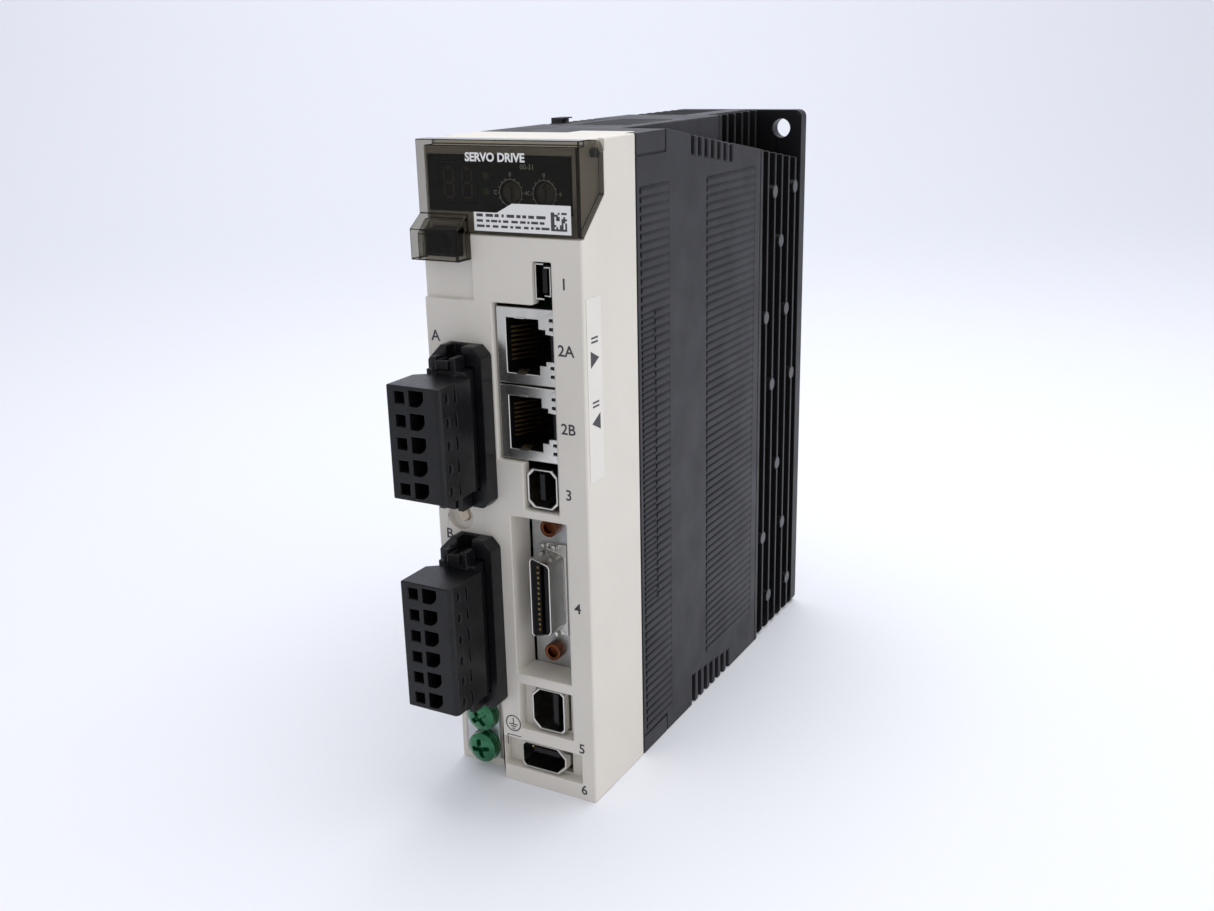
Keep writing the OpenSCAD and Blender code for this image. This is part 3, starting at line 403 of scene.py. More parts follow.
def new_piece(name: str, solid: Solid, finish: Finish, body: str = Body.ROOT.value,
              smooth: float | None = None) -> bpy.types.Object:
    """Makes a piece from points in corner millimetres.

    Args:
        name: the piece's name.
        solid: its points and faces.
        finish: its surface.
        body: the body that it rides on.
        smooth: angle in degrees under which faces shade as one, or None for flat faces.

    Returns:
        The new object, which sits at the origin.
    """
    points, faces = solid
    mesh = bpy.data.meshes.new(name)
    mesh.from_pydata(place(points).tolist(), [], faces)
    turn = bmesh.new()
    turn.from_mesh(mesh)
    bmesh.ops.recalc_face_normals(turn, faces=turn.faces)
    turn.to_mesh(mesh)
    turn.free()
    mesh.materials.append(finish.build())
    if smooth is not None:
        mesh.shade_smooth()
        mesh.set_sharp_from_angle(angle=math.radians(smooth))
    piece = bpy.data.objects.new(name, mesh)
    bpy.context.scene.collection.objects.link(piece)
    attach(piece, body)
    return report(piece)


def coat(node: str, finish: Finish) -> None:
    """Gives a CAD node that keeps its shape its finish."""
    target = frame["nodes"][node]
    target.data.materials.clear()
    target.data.materials.append(finish.build())
    log.info("%s: %s", node, finish.name)


def dress(node: str, finish: Finish, edge: float, sharp: float = 28.0,
          rim: Finish | None = None) -> bpy.types.Object:
    """Copies a CAD node, rounds its edges and gives it its finish.

    Each edge sharper than the limit is rounded by the given radius, or by under half of the
    shortest edge that meets it at either end, so that no two roundings run into each other.

    Args:
        node: the CAD node that the piece stands for.
        finish: the surface.
        edge: radius of the rounded edges in millimetres.
        sharp: angle in degrees between two faces over which their edge is rounded.
        rim: the surface of the rounded edges, if it is another one.

    Returns:
        The new object.
    """
    mesh = frame["nodes"][node].data.copy()
    work = bmesh.new()
    work.from_mesh(mesh)
    bmesh.ops.remove_doubles(work, verts=work.verts, dist=MERGE_M)
    bmesh.ops.dissolve_limit(work, angle_limit=math.radians(FLAT_DEG), verts=work.verts,
                             edges=work.edges)
    bmesh.ops.triangulate(work, faces=work.faces)
    work.verts.index_update()
    ends = np.array([[v.index for v in e.verts] for e in work.edges])
    long = np.array([e.calc_length() for e in work.edges])
    bend = np.degrees([e.calc_face_angle(0.0) for e in work.edges])
    shortest = np.full(len(work.verts), np.inf)
    np.minimum.at(shortest, ends[:, 0], long)
    np.minimum.at(shortest, ends[:, 1], long)
    room = shortest[ends].min(axis=1)
    weights = np.where(bend > sharp, np.clip(EDGE_SHARE * room / (edge * MM), 0, 1), 0)
    work.to_mesh(mesh)
    work.free()
    layer = mesh.attributes.new("bevel_weight_edge", "FLOAT", "EDGE")
    layer.data.foreach_set("value", weights.astype(np.float32))
    mesh.shade_smooth()
    mesh.set_sharp_from_angle(angle=math.radians(sharp))
    mesh.materials.clear()
    mesh.materials.append(finish.build())
    if rim:
        mesh.materials.append(rim.build())
    piece = bpy.data.objects.new(node + "_finished", mesh)
    bpy.context.scene.collection.objects.link(piece)
    rounding = piece.modifiers.new("edges", "BEVEL")
    rounding.width = edge * MM
    rounding.segments = 2
    rounding.limit_method = "WEIGHT"
    rounding.use_clamp_overlap = False
    rounding.material = 1 if rim else -1
    # large faces set the normals, so that a rounding's narrow strips don't tilt them
    weighted = piece.modifiers.new("normals", "WEIGHTED_NORMAL")
    weighted.mode = "FACE_AREA"
    weighted.weight = 100
    weighted.keep_sharp = True
    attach(piece, body_of_node(node))
    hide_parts(node)
    return report(piece)


def join(solids: list[Solid]) -> Solid:
    """Puts several solids into one set of points and faces."""
    points = np.concatenate([s[0] for s in solids])
    starts = np.cumsum([0] + [len(s[0]) for s in solids[:-1]])
    faces = [tuple(int(i + start) for i in face)
             for (_, some), start in zip(solids, starts) for face in some]
    return points, faces


def slab(outline: np.ndarray, y: tuple[float, float]) -> Solid:
    """Carries an x-z outline straight back from y[0] to y[1] and closes both ends."""
    count = len(outline)
    here = np.arange(count)
    after = np.roll(here, -1)
    points = np.concatenate([np.column_stack([outline[:, 0], np.full(count, at), outline[:, 1]])
                             for at in y])
    walls = np.column_stack([here, after, after + count, here + count])
    return points, [tuple(here.tolist()), tuple((here[::-1] + count).tolist()),
                    *map(tuple, walls.tolist())]


def grid_quads(index: np.ndarray, turned: bool = False) -> Faces:
    """Quads between neighbouring rows and columns of a grid of point numbers.

    Args:
        index: the point numbers.
        turned: whether each quad runs the other way round.

    Returns:
        One face for each cell, row by row.
    """
    corners = [index[:-1, :-1], index[:-1, 1:], index[1:, 1:], index[1:, :-1]]
    if turned:
        corners[1:] = corners[:0:-1]
    return [tuple(q) for q in np.stack(corners, axis=-1).reshape(-1, 4).tolist()]


def side_slab(outline: np.ndarray, x: tuple[float, float]) -> Solid:
    """Carries a y-z outline straight across from x[0] to x[1] and closes both ends."""
    points, faces = slab(outline, x)
    return points[:, [1, 0, 2]], faces


def bar(x: tuple[float, float], z: tuple[float, float]) -> np.ndarray:
    """A rectangle's outline from its limits."""
    return np.array([[x[0], z[0]], [x[1], z[0]], [x[1], z[1]], [x[0], z[1]]])


def stroke(start: tuple[float, float], end: tuple[float, float], width: float) -> np.ndarray:
    """A straight line's outline: both ends set off by half the width along its normal."""
    a, b = np.array(start), np.array(end)
    along = (b - a) / np.linalg.norm(b - a)
    off = np.array([-along[1], along[0]]) * width / 2
    return np.array([a - off, b - off, b + off, a + off])


def circle(centre: tuple[float, float], radius: float, count: int = 32) -> np.ndarray:
    """Points of a circle, counted by equal angles."""
    turn = np.arange(count) * 2 * np.pi / count
    return np.column_stack([centre[0] + radius * np.cos(turn), centre[1] + radius * np.sin(turn)])


def ring(centre: tuple[float, float], radius: float, width: float, y: tuple[float, float],
         arc: tuple[float, float] = (0.0, 360.0), count: int = 40) -> Solid:
    """A flat ring or part of one, as a row of thin wedges between two radii.

    Args:
        centre: x and z of its middle.
        radius: its outer radius.
        width: the line's width.
        y: its two depths.
        arc: first and last angle in degrees, counted from +x towards +z.
        count: steps along the arc.

    Returns:
        The closed solid: each point is centre + r (cos a, sin a) for r at both edges.
    """
    full = arc[1] - arc[0] >= 360
    turn = np.radians(np.linspace(*arc, count + 1))[: count if full else None]
    steps = len(turn)
    corners = [(radius, y[0]), (radius, y[1]), (radius - width, y[1]), (radius - width, y[0])]
    points = np.concatenate([
        np.column_stack([centre[0] + r * np.cos(turn), np.full(steps, at),
                         centre[1] + r * np.sin(turn)]) for r, at in corners])
    last = steps if full else steps - 1
    here = np.arange(last)
    there = (here + 1) % steps
    faces: Faces = []
    for k in range(4):
        a, b = k * steps, ((k + 1) % 4) * steps
        sides = np.column_stack([here + a, there + a, there + b, here + b])
        faces += [tuple(f) for f in sides.tolist()]
    if not full:
        faces += [tuple(k * steps for k in range(4)),
                  tuple(k * steps + last for k in (3, 2, 1, 0))]
    return points, faces


def lettering(name: str, text: str, size: float, centre: tuple[float, float], front: float,
              finish: Finish, body: str = Body.ROOT.value,
              weight: float = 0.015) -> bpy.types.Object:
    """Prints plain characters on a face that looks towards the front.

    Args:
        name: the piece's name.
        text: generic numbers or a plain word.
        size: height of the line in millimetres.
        centre: x and z of the text's middle.
        front: y of the printed face.
        finish: the ink.
        body: the body that it rides on.
        weight: how far the strokes are thickened, as a share of the size.

    Returns:
        The new object.
    """
    curve = bpy.data.curves.new(name + "_curve", "FONT")
    curve.body = text
    curve.size = size
    curve.extrude = INK_T / 2
    curve.offset = size * weight
    curve.align_x = "CENTER"
    curve.align_y = "CENTER"
    curve.resolution_u = 3
    holder = bpy.data.objects.new(name + "_curve", curve)
    bpy.context.scene.collection.objects.link(holder)
    bpy.context.view_layer.update()
    seen = holder.evaluated_get(bpy.context.evaluated_depsgraph_get())
    flat = bpy.data.meshes.new_from_object(seen)
    across = np.empty(len(flat.vertices) * 3)
    flat.vertices.foreach_get("co", across)
    across = across.reshape(-1, 3)
    points = np.column_stack([centre[0] + across[:, 0], front - INK_T / 2 - across[:, 2],
                              centre[1] + across[:, 1]])
    faces = [tuple(p.vertices) for p in flat.polygons]
    bpy.data.objects.remove(holder)
    return new_piece(name, (points, faces), finish, body)


# ---- Housing ----


@dataclass(frozen=True)
class RibPanel:
    """A louvred panel let into a side: every rib's lower edge is flush, and its face falls
    inwards as it rises to the next rib. The ribs grow shallower towards the rear.

    Each rib is told by five lines: steps says how far up the pitch a line lies, sinks its
    share of the depth there, and dashes its share of the notch at the rib's front end.
    """

    name: str
    y: tuple[float, float]
    z: tuple[float, float]
    pitch: float
    front_deep: float
    rear_deep: float
    seat: float = 0.39
    notch: float = 0.9
    steps: tuple[float, ...] = (0.0, 0.14, 0.45, 0.74, 0.985)
    sinks: tuple[float, ...] = (0.0, 0.14, 0.5, 1.0, 1.0)
    dashes: tuple[float, ...] = (0.0, 0.0, 1.0, 1.0, 0.6)
    # the painted shade in the grooves pales with height, from full strength at the first z to this
    # share at the second
    painted_shade_fade_z: tuple[float, float] = (60.0, 138.0)
    painted_shade_fade_to: float = 0.5

    def surface(self, side: Side, width: float) -> tuple[np.ndarray, Faces, np.ndarray]:
        """The panel's points in corner millimetres, faces, and the painted shade of each point.

        The outer face at (y, z) lies deep(y) * rise(z) inside the side, where rise runs from
        0 at a rib's lower edge to 1 at its upper edge, and deep falls from front_deep to
        rear_deep. A short notch at the front end of each rib goes down to the seat.
        """
        tall = self.z[1] - self.z[0]
        ribs = max(1, round(tall / self.pitch))
        lines = (np.arange(ribs)[:, None] + np.array(self.steps)[None, :]).ravel()
        z = np.append(self.z[0] + lines * tall / ribs, self.z[1])
        rise = np.append(np.tile(self.sinks, ribs), 0.0)
        dash = np.append(np.tile(self.dashes, ribs), 0.0)
        front, rear = self.y
        y = np.concatenate([[front, front + self.notch, front + self.notch * 1.25],
                            np.linspace(front + 2 * self.notch, rear - 0.3, 8), [rear]])
        along = np.clip((y - front) / (rear - front), 0, 1)
        deep = self.front_deep + (self.rear_deep - self.front_deep) * along
        deep[-1] = 0.0
        drop = deep[:, None] * rise[None, :]
        in_notch = (y <= front + self.notch)[:, None] * dash[None, :]
        drop = np.maximum(drop, in_notch * (self.seat - 0.03))
        # painted shade: the dark line lies on the deeper half of a rib, and pales where the rib is
        # shallower and higher up; the front notch is painted fully dark
        line = np.clip((rise - 0.5) / 0.5, 0, 1) * np.interp(z, self.painted_shade_fade_z, (1.0, self.painted_shade_fade_to))
        line = (deep / self.front_deep)[:, None] ** 0.6 * line[None, :]
        shade = np.clip(np.maximum(line, in_notch), 0, 1)
        outer = width if side is Side.RIGHT else 0.0
        rows, columns = len(y), len(z)
        yy, zz = np.meshgrid(y, z, indexing="ij")
        top = np.stack([outer - side.value * drop, yy, zz], axis=-1).reshape(-1, 3)
        base = top.copy()
        base[:, 0] = outer - side.value * self.seat
        index = np.arange(rows * columns).reshape(rows, columns)
        quads = grid_quads(index, turned=True)
        rim = np.concatenate([index[0, :-1], index[:-1, -1], index[-1, :0:-1], index[:0:-1, 0]])
        after = np.roll(rim, -1)
        under = rows * columns
        walls = np.column_stack([rim, after, after + under, rim + under])
        faces = [*quads, *map(tuple, walls.tolist()), tuple((rim[::-1] + under).tolist())]
        return np.concatenate([top, base]), faces, np.concatenate([shade.ravel(), np.zeros(under)])

    def build(self, side: Side, width: float) -> bpy.types.Object:
        """Makes the panel on one side of a drive of this width."""
        points, faces, shade = self.surface(side, width)
        used = np.unique(np.concatenate([np.array(f) for f in faces]))
        order = np.full(len(points), -1)
        order[used] = np.arange(len(used))
        faces = [tuple(int(order[i]) for i in face) for face in faces]
        piece = new_piece(f"{self.name}_{side.name.lower()}", (points[used], faces), RIBBED_WITH_PAINTED_SHADE)
        # the painted shade goes to the finish as the "shade" attribute
        layer = piece.data.attributes.new("shade", "FLOAT", "POINT")
        layer.data.foreach_set("value", shade[used].astype(np.float32))
        return piece


@dataclass
class Housing:
    """Pale front, dark ribbed housing and black heatsink."""

    width: float = 40.0
    height: float = 150.0
    fin_pitch: float = 5.083
    fin_t: float = 1.1
    sink_y: float = 96.3
    pad_r: float = 1.65
    arrows: tuple[tuple[float, int], ...] = ((105.0, 1), (91.0, -1))
    arrow_half: tuple[float, float] = (1.8, 1.85)
    rule_half: float = 1.4
    rule_lifts: tuple[float, float] = (3.4, 4.3)
    rule_t: float = 0.4
    text_size: float = 3.4
    texts: tuple[tuple[str, float, float], ...] = (
        ("1", 35.6, 121.0), ("2A", 35.6, 106.9), ("2B", 35.6, 89.8), ("3", 35.2, 74.9),
        ("4", 36.6, 48.4), ("5", 36.6, 13.2), ("6", 36.9, 2.5), ("A", 2.3, 107.6),
        ("B", 2.9, 61.0))
    panels: tuple[RibPanel, ...] = (
        RibPanel("front_ribs_fine", (26.2, 32.8), (38.5, 110.4), 1.4, 0.3, 0.22),
        RibPanel("front_ribs_inner", (32.8, 40.8), (38.5, 110.4), 2.05, 0.3, 0.1),
        RibPanel("front_ribs_upper", (26.2, 40.8), (110.4, 138.4), 2.05, 0.26, 0.08),
        RibPanel("front_ribs_lower", (26.2, 40.8), (5.2, 38.5), 2.05, 0.3, 0.1),
        RibPanel("rear_ribs", (61.7, 92.5), (11.0, 137.4), 2.05, 0.32, 0.1),
    )

    def shells(self) -> None:
        """Rounds the edges of the three big shells."""
        dress("front_cover", IVORY, 0.35)
        dress("main_housing", SLATE, 0.4)
        dress("heatsink", CASTING, 0.3)

    def ribs(self) -> None:
        """Lays the ribbed panels into the recesses of both sides."""
        for panel in self.panels:
            for side in Side:
                panel.build(side, self.width)

    def ejector_marks(self) -> None:
        """Bared discs on the pads along the fin edges, where pins pushed the casting out."""
        discs = []
        x = (self.width - 0.02, self.width + 0.03)
        for k in range(1, 6):
            y = self.sink_y + k * self.fin_pitch + self.fin_t / 2
            step = (2 * k + 2) % 3
            rows = [*np.arange(10.5 + step * 20, self.height - 13.9, 65)]
            if step == 0:
                rows.append(self.height - 20.6)
            discs += [side_slab(circle((y, z), self.pad_r, 28), x) for z in rows]
        new_piece("ejector_marks", join(discs), BARE_CAST)

    def sticker(self) -> None:
        """Plain strip on the right side with two arrowheads that point at the ports."""
        coat("side_sticker", STRIP)
        low, high = box_mm("side_sticker")
        x = (high[0] - SUNK, high[0] + INK_T)
        middle = (low[1] + high[1]) / 2
        long, half = self.arrow_half
        heads = [side_slab(np.array([[middle - way * long, z - half], [middle + way * long, z],
                                     [middle - way * long, z + half]]), x)
                 for z, way in self.arrows]
        across = (middle - self.rule_half, middle + self.rule_half)
        rules = [side_slab(bar(across, (z + lift, z + lift + self.rule_t)), x)
                 for z, _ in self.arrows for lift in self.rule_lifts]
        new_piece("side_sticker_print", join(heads + rules), INK_DARK)

    def front_print(self) -> None:
        """Plain port numbers and the earth symbol on the pale front."""
        for text, x, z in self.texts:
            lettering("port_number_" + text, text, self.text_size, (x, z), 0.0, INK_DARK)
        y = (-INK_T, SUNK)
        middle = 18.0
        mark = [ring((middle, 15.5), 2.1, 0.28, y),
                slab(stroke((middle, 16.9), (middle, 15.3), 0.26), y)]
        for drop, half in ((0.0, 1.15), (0.55, 0.75), (1.1, 0.35)):
            mark.append(slab(bar((middle - half, middle + half), (15.1 - drop, 15.36 - drop)), y))
        # the line that leads from the symbol to the screws
        mark.append(slab(bar((16.2, 20.0), (12.2, 12.4)), y))
        mark.append(slab(bar((16.2, 16.4), (9.6, 12.2)), y))
        new_piece("earth_symbol", join(mark), INK_DARK)

    def build(self) -> None:
        """Builds and dresses the enclosure."""
        self.shells()
        self.ribs()
        self.ejector_marks()
        self.sticker()
        self.front_print()


# ---- Display ----


@dataclass
class Display:
    """Smoked cover on its hinge, with the black panel, digits, lamps and dials behind it."""

    face: float = 1.5
    dials: tuple[float, float] = (22.6, 30.8)
    dial_z: float = 139.2
    dial_r: float = 2.2
    scale_gap: float = 0.62
    tick: float = 0.38
    line: float = 0.14
    text_r: float = 3.75
    seed: int = 7
    code_cells: int = 9
    code_unit: float = 0.42
    code_room: float = 6.5

    def cover(self) -> None:
        """Smoked cover, its hinge pins and the sticker on it."""
        dress("display_cover", SMOKE, 0.25, rim=SMOKE_RIM)
        coat("rating_sticker", LABEL)
        dress("cover_pins", BLACK, 0.2)
        lettering("cover_word", "SERVO DRIVE", 2.45, (19.9, 146.4), 0.0, INK_WHITE,
                  Body.COVER.value, weight=0.035)

    def sticker_print(self) -> None:
        """Generic bars and a random block code on the sticker."""
        low, high = box_mm("rating_sticker")
        y = (low[1] - INK_T, low[1] + SUNK)
        rng = np.random.default_rng(self.seed)
        marks = []
        for row, z in enumerate((low[2] + 3.0, low[2] + 1.9, low[2] + 0.8)):
            x = low[0] + 0.7
            while x < high[0] - self.code_room:
                wide = rng.uniform(0.5, 2.2)
                marks.append(slab(bar((x, x + wide), (z, z + (0.5 if row else 0.62))), y))
                x += wide + rng.uniform(0.3, 0.8)
        cells = rng.random((self.code_cells, self.code_cells)) > 0.5
        cells[0, :] = True
        cells[:, 0] = True
        unit = self.code_unit
        for i, j in np.argwhere(cells):
            x, z = high[0] - 4.7 + j * unit, low[2] + 0.7 + i * unit
            marks.append(slab(bar((x, x + unit), (z, z + unit)), y))
        new_piece("sticker_print", join(marks), INK_DARK, Body.COVER.value)

    def panel(self) -> None:
        """Black panel with its window, socket, lamps and the printed rings of the dials."""
        dress("display_panel", PANEL, 0.15)
        coat("digit_display", PANEL)
        coat("status_lamps", LAMP_GREEN)
        dress("monitor_socket", BLACK, 0.2)
        coat("address_switches", BLACK)
        y = (self.face - INK_T, self.face + SUNK)
        marks = []
        inner_r = self.dial_r + self.scale_gap
        outer_r = inner_r + self.tick
        for x in self.dials:
            centre = (x, self.dial_z)
            marks.append(ring(centre, inner_r, self.line, y))
            for k in range(16):
                way = np.array([math.cos(k * math.pi / 8), math.sin(k * math.pi / 8)])
                inner, outer = (np.array(centre) + way * r for r in (inner_r, outer_r))
                marks.append(slab(stroke(tuple(inner), tuple(outer), self.line), y))
        new_piece("dial_scales", join(marks), INK_WHITE)
        for name, x in zip(("tens", "units"), self.dials):
            for k, text in enumerate(("0", "4", "8", "C")):
                way = math.radians(90 - k * 90)
                spot = (x + self.text_r * math.cos(way), self.dial_z + self.text_r * math.sin(way))
                lettering(f"dial_{name}_{text}", text, 1.2, spot, self.face, INK_WHITE)

    def scale_text(self) -> None:
        """Range of the address numbers, printed above the dials."""
        lettering("dial_range", "00-31", 1.5, (26.8, 144.5), self.face, INK_WHITE)

    def digits(self) -> None:
        """Unlit bars that lie in the recesses of the two digits."""
        low, high = box_mm("digit_display")
        foot, tall, thick = low[2] + 0.8, high[2] - low[2] - 1.6, 0.5
        reach = (tall - thick) / 2
        y = (self.face + 0.24, self.face + 0.35)
        bars = []
        for x in (5.6, 10.2):
            bars += [slab(bar((x + thick, x + 2.3), (z, z + thick)), y)
                     for z in foot + np.arange(3) * reach]
            for left in (x - 0.05, x + 2.3):
                bars += [slab(bar((left, left + thick), (z + 0.05, z + reach - thick - 0.05)), y)
                         for z in foot + thick + np.arange(2) * reach]
        new_piece("digit_bars", join(bars), SEGMENT)

    def build(self) -> None:
        """Builds and dresses the display."""
        self.cover()
        self.sticker_print()
        self.panel()
        self.digits()
        self.scale_text()
        dress("address_dial_tens", DIAL, 0.12)
        dress("address_dial_units", DIAL, 0.12)


# ---- Ports ----


# Where the contacts lie: x of an upright tongue's left face, or z of a level one's upper face
TONGUES = {"safety_insert": (26.7, True), "scale_insert": (28.1, True),
           "encoder_insert": (9.3, False)}


@dataclass
class Ports:
    """Column of signal ports on the right of the front."""

    comb_pitch: float = 1.0
    comb_half: float = 0.24
    comb_y: tuple[float, float] = (2.3, 8.6)
    leaf: tuple[float, float] = (0.75, 3.6)
    leaf_half: float = 1.2
    leaf_t: float = 0.22
    jack_middles: tuple[float, float] = (106.9, 89.7)
    jack_x: tuple[float, float] = (17.8, 32.2)

    def shells(self) -> None:
        """Nickel shells and shields with rounded rims."""
        for node, edge in (("usb_shell", 0.15), ("lan_shields", 0.2), ("safety_shell", 0.2),
                           ("io_shell", 0.2), ("scale_shell", 0.2), ("encoder_shell", 0.2)):
            dress(node, NICKEL, edge)
        dress("io_bracket", ZINC, 0.2)
        dress("io_jackscrews", BRONZE, 0.2)

    def inserts(self) -> None:
        """Black inserts and their contacts."""
        for node in ("usb_tongue", "lan_inserts", "safety_insert", "io_insert", "scale_insert",
                     "encoder_insert"):
            coat(node, BLACK)
        # the jack wires get a gold darkened by painted shade
        coat("lan_contacts", JACK_WIRE_IN_PAINTED_SHADE)
        coat("io_pins", GOLD)

    def jack_springs(self) -> None:
        """Folded spring tabs at the top and bottom of each jack's mouth."""
        tabs = []
        middle = sum(self.jack_x) / 2 - 1.2
        x = (middle - self.leaf_half, middle + self.leaf_half)
        depth = np.linspace(*self.leaf, 9)
        arc = (depth - self.leaf[0]) / (self.leaf[1] - self.leaf[0]) * np.pi * 0.62
        for z in self.jack_middles:
            for way in (-1, 1):
                # a bent leaf: its profile runs inwards, then bows towards the mouth's middle
                bow = z + way * (6.08 - 0.75 * np.sin(arc))
                outer = np.column_stack([depth, bow])
                inner = np.column_stack([depth, bow + way * self.leaf_t])
                tabs.append(side_slab(np.concatenate([outer, inner[::-1]]), x))
        new_piece("jack_springs", join(tabs), NICKEL, smooth=40)

    def combs(self) -> None:
        """Rows of bright contacts on the tongues of the three round-cornered ports."""
        rows = []
        for node, (tongue, upright) in TONGUES.items():
            low, high = box_mm(node)
            span = (high[2] - low[2]) if upright else (high[0] - low[0])
            count = int((span - 2.2) // self.comb_pitch)
            centre = (low + high) / 2
            for k in range(count):
                at = centre[2 if upright else 0] + (k - (count - 1) / 2) * self.comb_pitch
                wide = (at - self.comb_half, at + self.comb_half)
                strip = bar((tongue - 0.06, tongue + 0.3), wide) if upright else bar(
                    wide, (tongue - 0.3, tongue + 0.06))
                rows.append(slab(strip, self.comb_y))
        new_piece("port_contacts", join(rows), GOLD)

    def build(self) -> None:
        """Builds and dresses the ports."""
        self.shells()
        self.inserts()
        self.jack_springs()
        self.combs()


# ---- Plugs ----


@dataclass
class Plugs:
    """Power and motor plugs with their headers, latches and clamps."""

    names: tuple[str, str] = ("power", "motor")

    def build(self) -> None:
        """Dresses both plugs and headers."""
        for name in self.names:
            dress(f"{name}_header", PLUG, 0.3)
            coat(f"{name}_header_pins", TIN)
            dress(f"{name}_plug", PLUG, 0.28)
            coat(f"{name}_plug_clamps", SPRING)
            dress(f"{name}_latch_top", BLACK, 0.18)
            dress(f"{name}_latch_bottom", BLACK, 0.18)


# ---- Earth terminal ----


@dataclass
class EarthTerminal:
    """Pale plate with two green pan-head screws."""

    x: float = 7.3
    middles: tuple[float, float] = (5.3, 13.8)
    head_r: float = 3.8
    head_y: tuple[float, float] = (0.8, 3.4)
    shank_r: float = 1.65
    slot_half: float = 0.5
    slot_reach: float = 2.25
    slot_deep: float = 1.5
    tilts: tuple[float, float] = (12.0, 38.0)

    def head(self, z: float, tilt: float) -> Solid:
        """One screw: a domed head with a cross recess, on its shank.

        The head's face at radius r and angle a lies at front + rise * (r / R)^2.6 from the
        front, plus the recess depth where either arm of the cross is: an arm is the product
        of two smooth steps, one across its width and one along its reach.

        Args:
            z: height of its axis.
            tilt: turn of the cross in degrees.

        Returns:
            The closed solid.
        """
        around, out = 96, 34
        turn = np.arange(around) * 2 * np.pi / around
        r = self.head_r * np.linspace(0.02, 1, out)
        rr, aa = np.meshgrid(r, turn, indexing="ij")
        u = rr * np.cos(aa - math.radians(tilt))
        v = rr * np.sin(aa - math.radians(tilt))

        def step(value: np.ndarray, edge: float, soft: float) -> np.ndarray:
            """1 inside the edge, 0 outside, smooth over the soft width."""
            t = np.clip((edge - value) / soft + 0.5, 0, 1)
            return t * t * (3 - 2 * t)

        u, v = np.abs(u), np.abs(v)
        arms = np.maximum(step(u, self.slot_half, 0.2) * step(v, self.slot_reach, 0.5),
                          step(v, self.slot_half, 0.2) * step(u, self.slot_reach, 0.5))
        dome = self.head_y[0] + 0.95 * (rr / self.head_r) ** 2.6
        y = dome + self.slot_deep * arms * (1 - 0.25 * rr / self.head_r)
        face = np.stack([self.x + rr * np.cos(aa), y, z + rr * np.sin(aa)], axis=-1).reshape(-1, 3)
        back = [(self.head_r, self.head_y[1] - 0.12), (self.head_r - 0.12, self.head_y[1]),
                (self.shank_r, self.head_y[1]), (self.shank_r, 9.4)]
        rows = [np.column_stack([self.x + radius * np.cos(turn), np.full(around, depth),
                                 z + radius * np.sin(turn)]) for radius, depth in back]
        points = np.concatenate([face, *rows])
        total = out + len(back)
        index = np.arange(total * around).reshape(total, around)
        quads = grid_quads(np.column_stack([index, index[:, :1]]))
        return points, [*quads, tuple(index[0].tolist()), tuple(index[-1][::-1].tolist())]

    def build(self) -> None:
        """Builds the screws and dresses the plate and washers."""
        dress("earth_plate", ZINC, 0.2)
        dress("earth_washers", GREEN, 0.15)
        screws = join([self.head(z, tilt) for z, tilt in zip(self.middles, self.tilts)])
        piece = new_piece("earth_screws_domed", screws, GREEN, smooth=35)
        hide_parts("earth_screws")


# ---- Inside ----


@dataclass
class Electronics:
    """Boards and parts inside the housing, seen only through vents and ports."""

    finishes: dict[str, Finish] = field(default_factory=lambda: {
        "control_board": MASK, "power_board": MASK, "board_link": BLACK, "bus_capacitors": SLEEVE,
        "transformer": TAPE, "charge_relay": RELAY, "power_module": EPOXY,
        "thermal_pad": SILICONE, "module_screws": ZINC})

    def build(self) -> None:
        """Gives every inner part its finish."""
        for node, finish in self.finishes.items():
            coat(node, finish)
        dress("charge_lamp", LAMP_CLEAR, 0.15)


# ---- Studio ----


def aim(start: tuple[float, float, float], end: tuple[float, float, float]) -> Matrix:
    """Placement at start, in corner millimetres, that looks towards end."""
    here, there = Vector(place(start)), Vector(place(end))
    turn = (there - here).to_track_quat("-Z", "Y").to_matrix().to_4x4()
    return Matrix.Translation(here) @ turn


@dataclass(frozen=True)
class SoftBox:
    """A square soft light: place and target in corner millimetres, size in millimetres."""

    name: str
    at: tuple[float, float, float]
    to: tuple[float, float, float]
    size: float
    power: float
    colour: str = "#ffffff"

    def build(self) -> None:
        """Adds the light."""
        lamp = bpy.data.lights.new(self.name, "AREA")
        lamp.shape = "SQUARE"
        lamp.size = self.size * MM
        lamp.energy = self.power
        lamp.color = linear(self.colour)[:3]
        holder = bpy.data.objects.new(self.name, lamp)
        holder.matrix_world = aim(self.at, self.to)
        bpy.context.scene.collection.objects.link(holder)


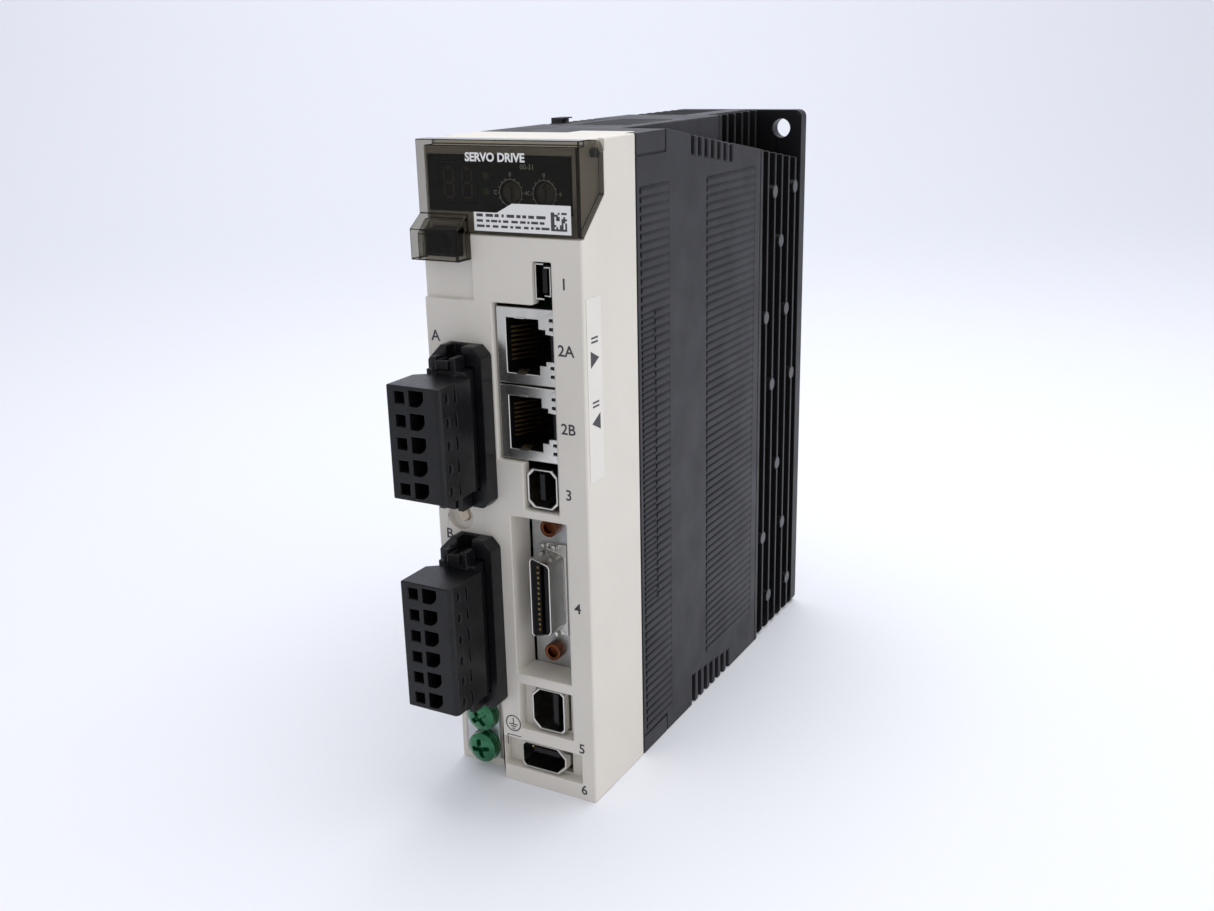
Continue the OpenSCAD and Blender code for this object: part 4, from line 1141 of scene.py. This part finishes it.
@dataclass
class Studio:
    """Pale sweep, soft lights and the camera. Camera places are in corner millimetres."""

    eye: tuple[float, float, float] = (170.63, -228.35, 167.08)
    target: tuple[float, float, float] = (-13.5, 106.0, 47.5)
    roll: float = -1.27
    lens: float = 38.376
    sensor: float = 36.0
    boxes: tuple[SoftBox, ...] = (
        SoftBox("key_right", (640, 0, 150), (20, 60, 70), 520, 0.86, "#fffaf2"),
        SoftBox("top", (60, 160, 700), (20, 70, 75), 620, 3.1),
        SoftBox("backdrop_wash", (-500, 700, 1500), (-900, 1700, 900), 1200, 9.0, "#f3f4fb"),
    )

    def sweep(self) -> None:
        """Floor that curves up into the backdrop.

        The sheet runs flat to the bend, turns up a quarter circle and goes on upwards:
        y = bend + R sin(a) and z = R (1 - cos(a)) on the curve.
        """
        low, wide, tall = -0.02, 3600.0, 2600.0
        radius = bend = 900.0
        quarter = np.radians(np.linspace(0, 90, 24))
        y = np.concatenate([[-2600, -1200, 0], bend + radius * np.sin(quarter), [bend + radius]])
        z = np.concatenate([[low, low, low], low + radius * (1 - np.cos(quarter)), [low + tall]])
        x = np.array([-wide, 0.0, wide])
        turn = math.radians(28)
        xx, yy = np.meshgrid(x, y)
        zz = np.broadcast_to(z[:, None], xx.shape)
        # turned about z so that the backdrop squarely faces the camera
        points = np.stack([xx * math.cos(turn) - yy * math.sin(turn),
                           xx * math.sin(turn) + yy * math.cos(turn), zz], axis=-1).reshape(-1, 3)
        rows, columns = xx.shape
        index = np.arange(rows * columns).reshape(rows, columns)
        mesh = bpy.data.meshes.new("studio_sweep")
        mesh.from_pydata(place(points).tolist(), [], grid_quads(index))
        mesh.shade_smooth()
        paper = Finish("studio_paper", "#eceef4", 0.8, drift=0.004, drift_mm=400.0, grain_mm=2.0,
                       grain_deep=0.0, glow=0.03)
        mesh.materials.append(paper.build())
        sheet = bpy.data.objects.new("studio_sweep", mesh)
        bpy.context.scene.collection.objects.link(sheet)

    def world(self) -> None:
        """Even pale surroundings, slightly blue."""
        world = bpy.data.worlds.new("studio")
        world.use_nodes = True
        shade = world.node_tree.nodes["Background"]
        shade.inputs["Color"].default_value = linear("#f2f3f8")
        shade.inputs["Strength"].default_value = 0.68
        bpy.context.scene.world = world

    def camera(self) -> None:
        """Camera at the eye, turned to the target and rolled a little."""
        lens = bpy.data.cameras.new("camera")
        lens.lens = self.lens
        lens.sensor_width = self.sensor
        lens.sensor_fit = "HORIZONTAL"
        lens.clip_start = 0.01
        lens.clip_end = 50
        holder = bpy.data.objects.new("camera", lens)
        roll = Matrix.Rotation(math.radians(self.roll), 4, "Z")
        holder.matrix_world = aim(self.eye, self.target) @ roll
        bpy.context.scene.collection.objects.link(holder)
        bpy.context.scene.camera = holder

    def build(self) -> None:
        """Sets up the studio."""
        self.world()
        self.sweep()
        self.camera()
        for soft in self.boxes:
            soft.build()
        bpy.context.scene.view_settings.view_transform = "Standard"


def main() -> None:
    """Builds every sub-assembly in order."""
    for part in (Studio(), Housing(), Display(), Ports(), Plugs(), EarthTerminal(), Electronics()):
        log.info("building %s", type(part).__name__)
        part.build()


if __name__ == "__main__":
    logging.basicConfig(level=logging.INFO, format="%(name)s: %(message)s")
    main()
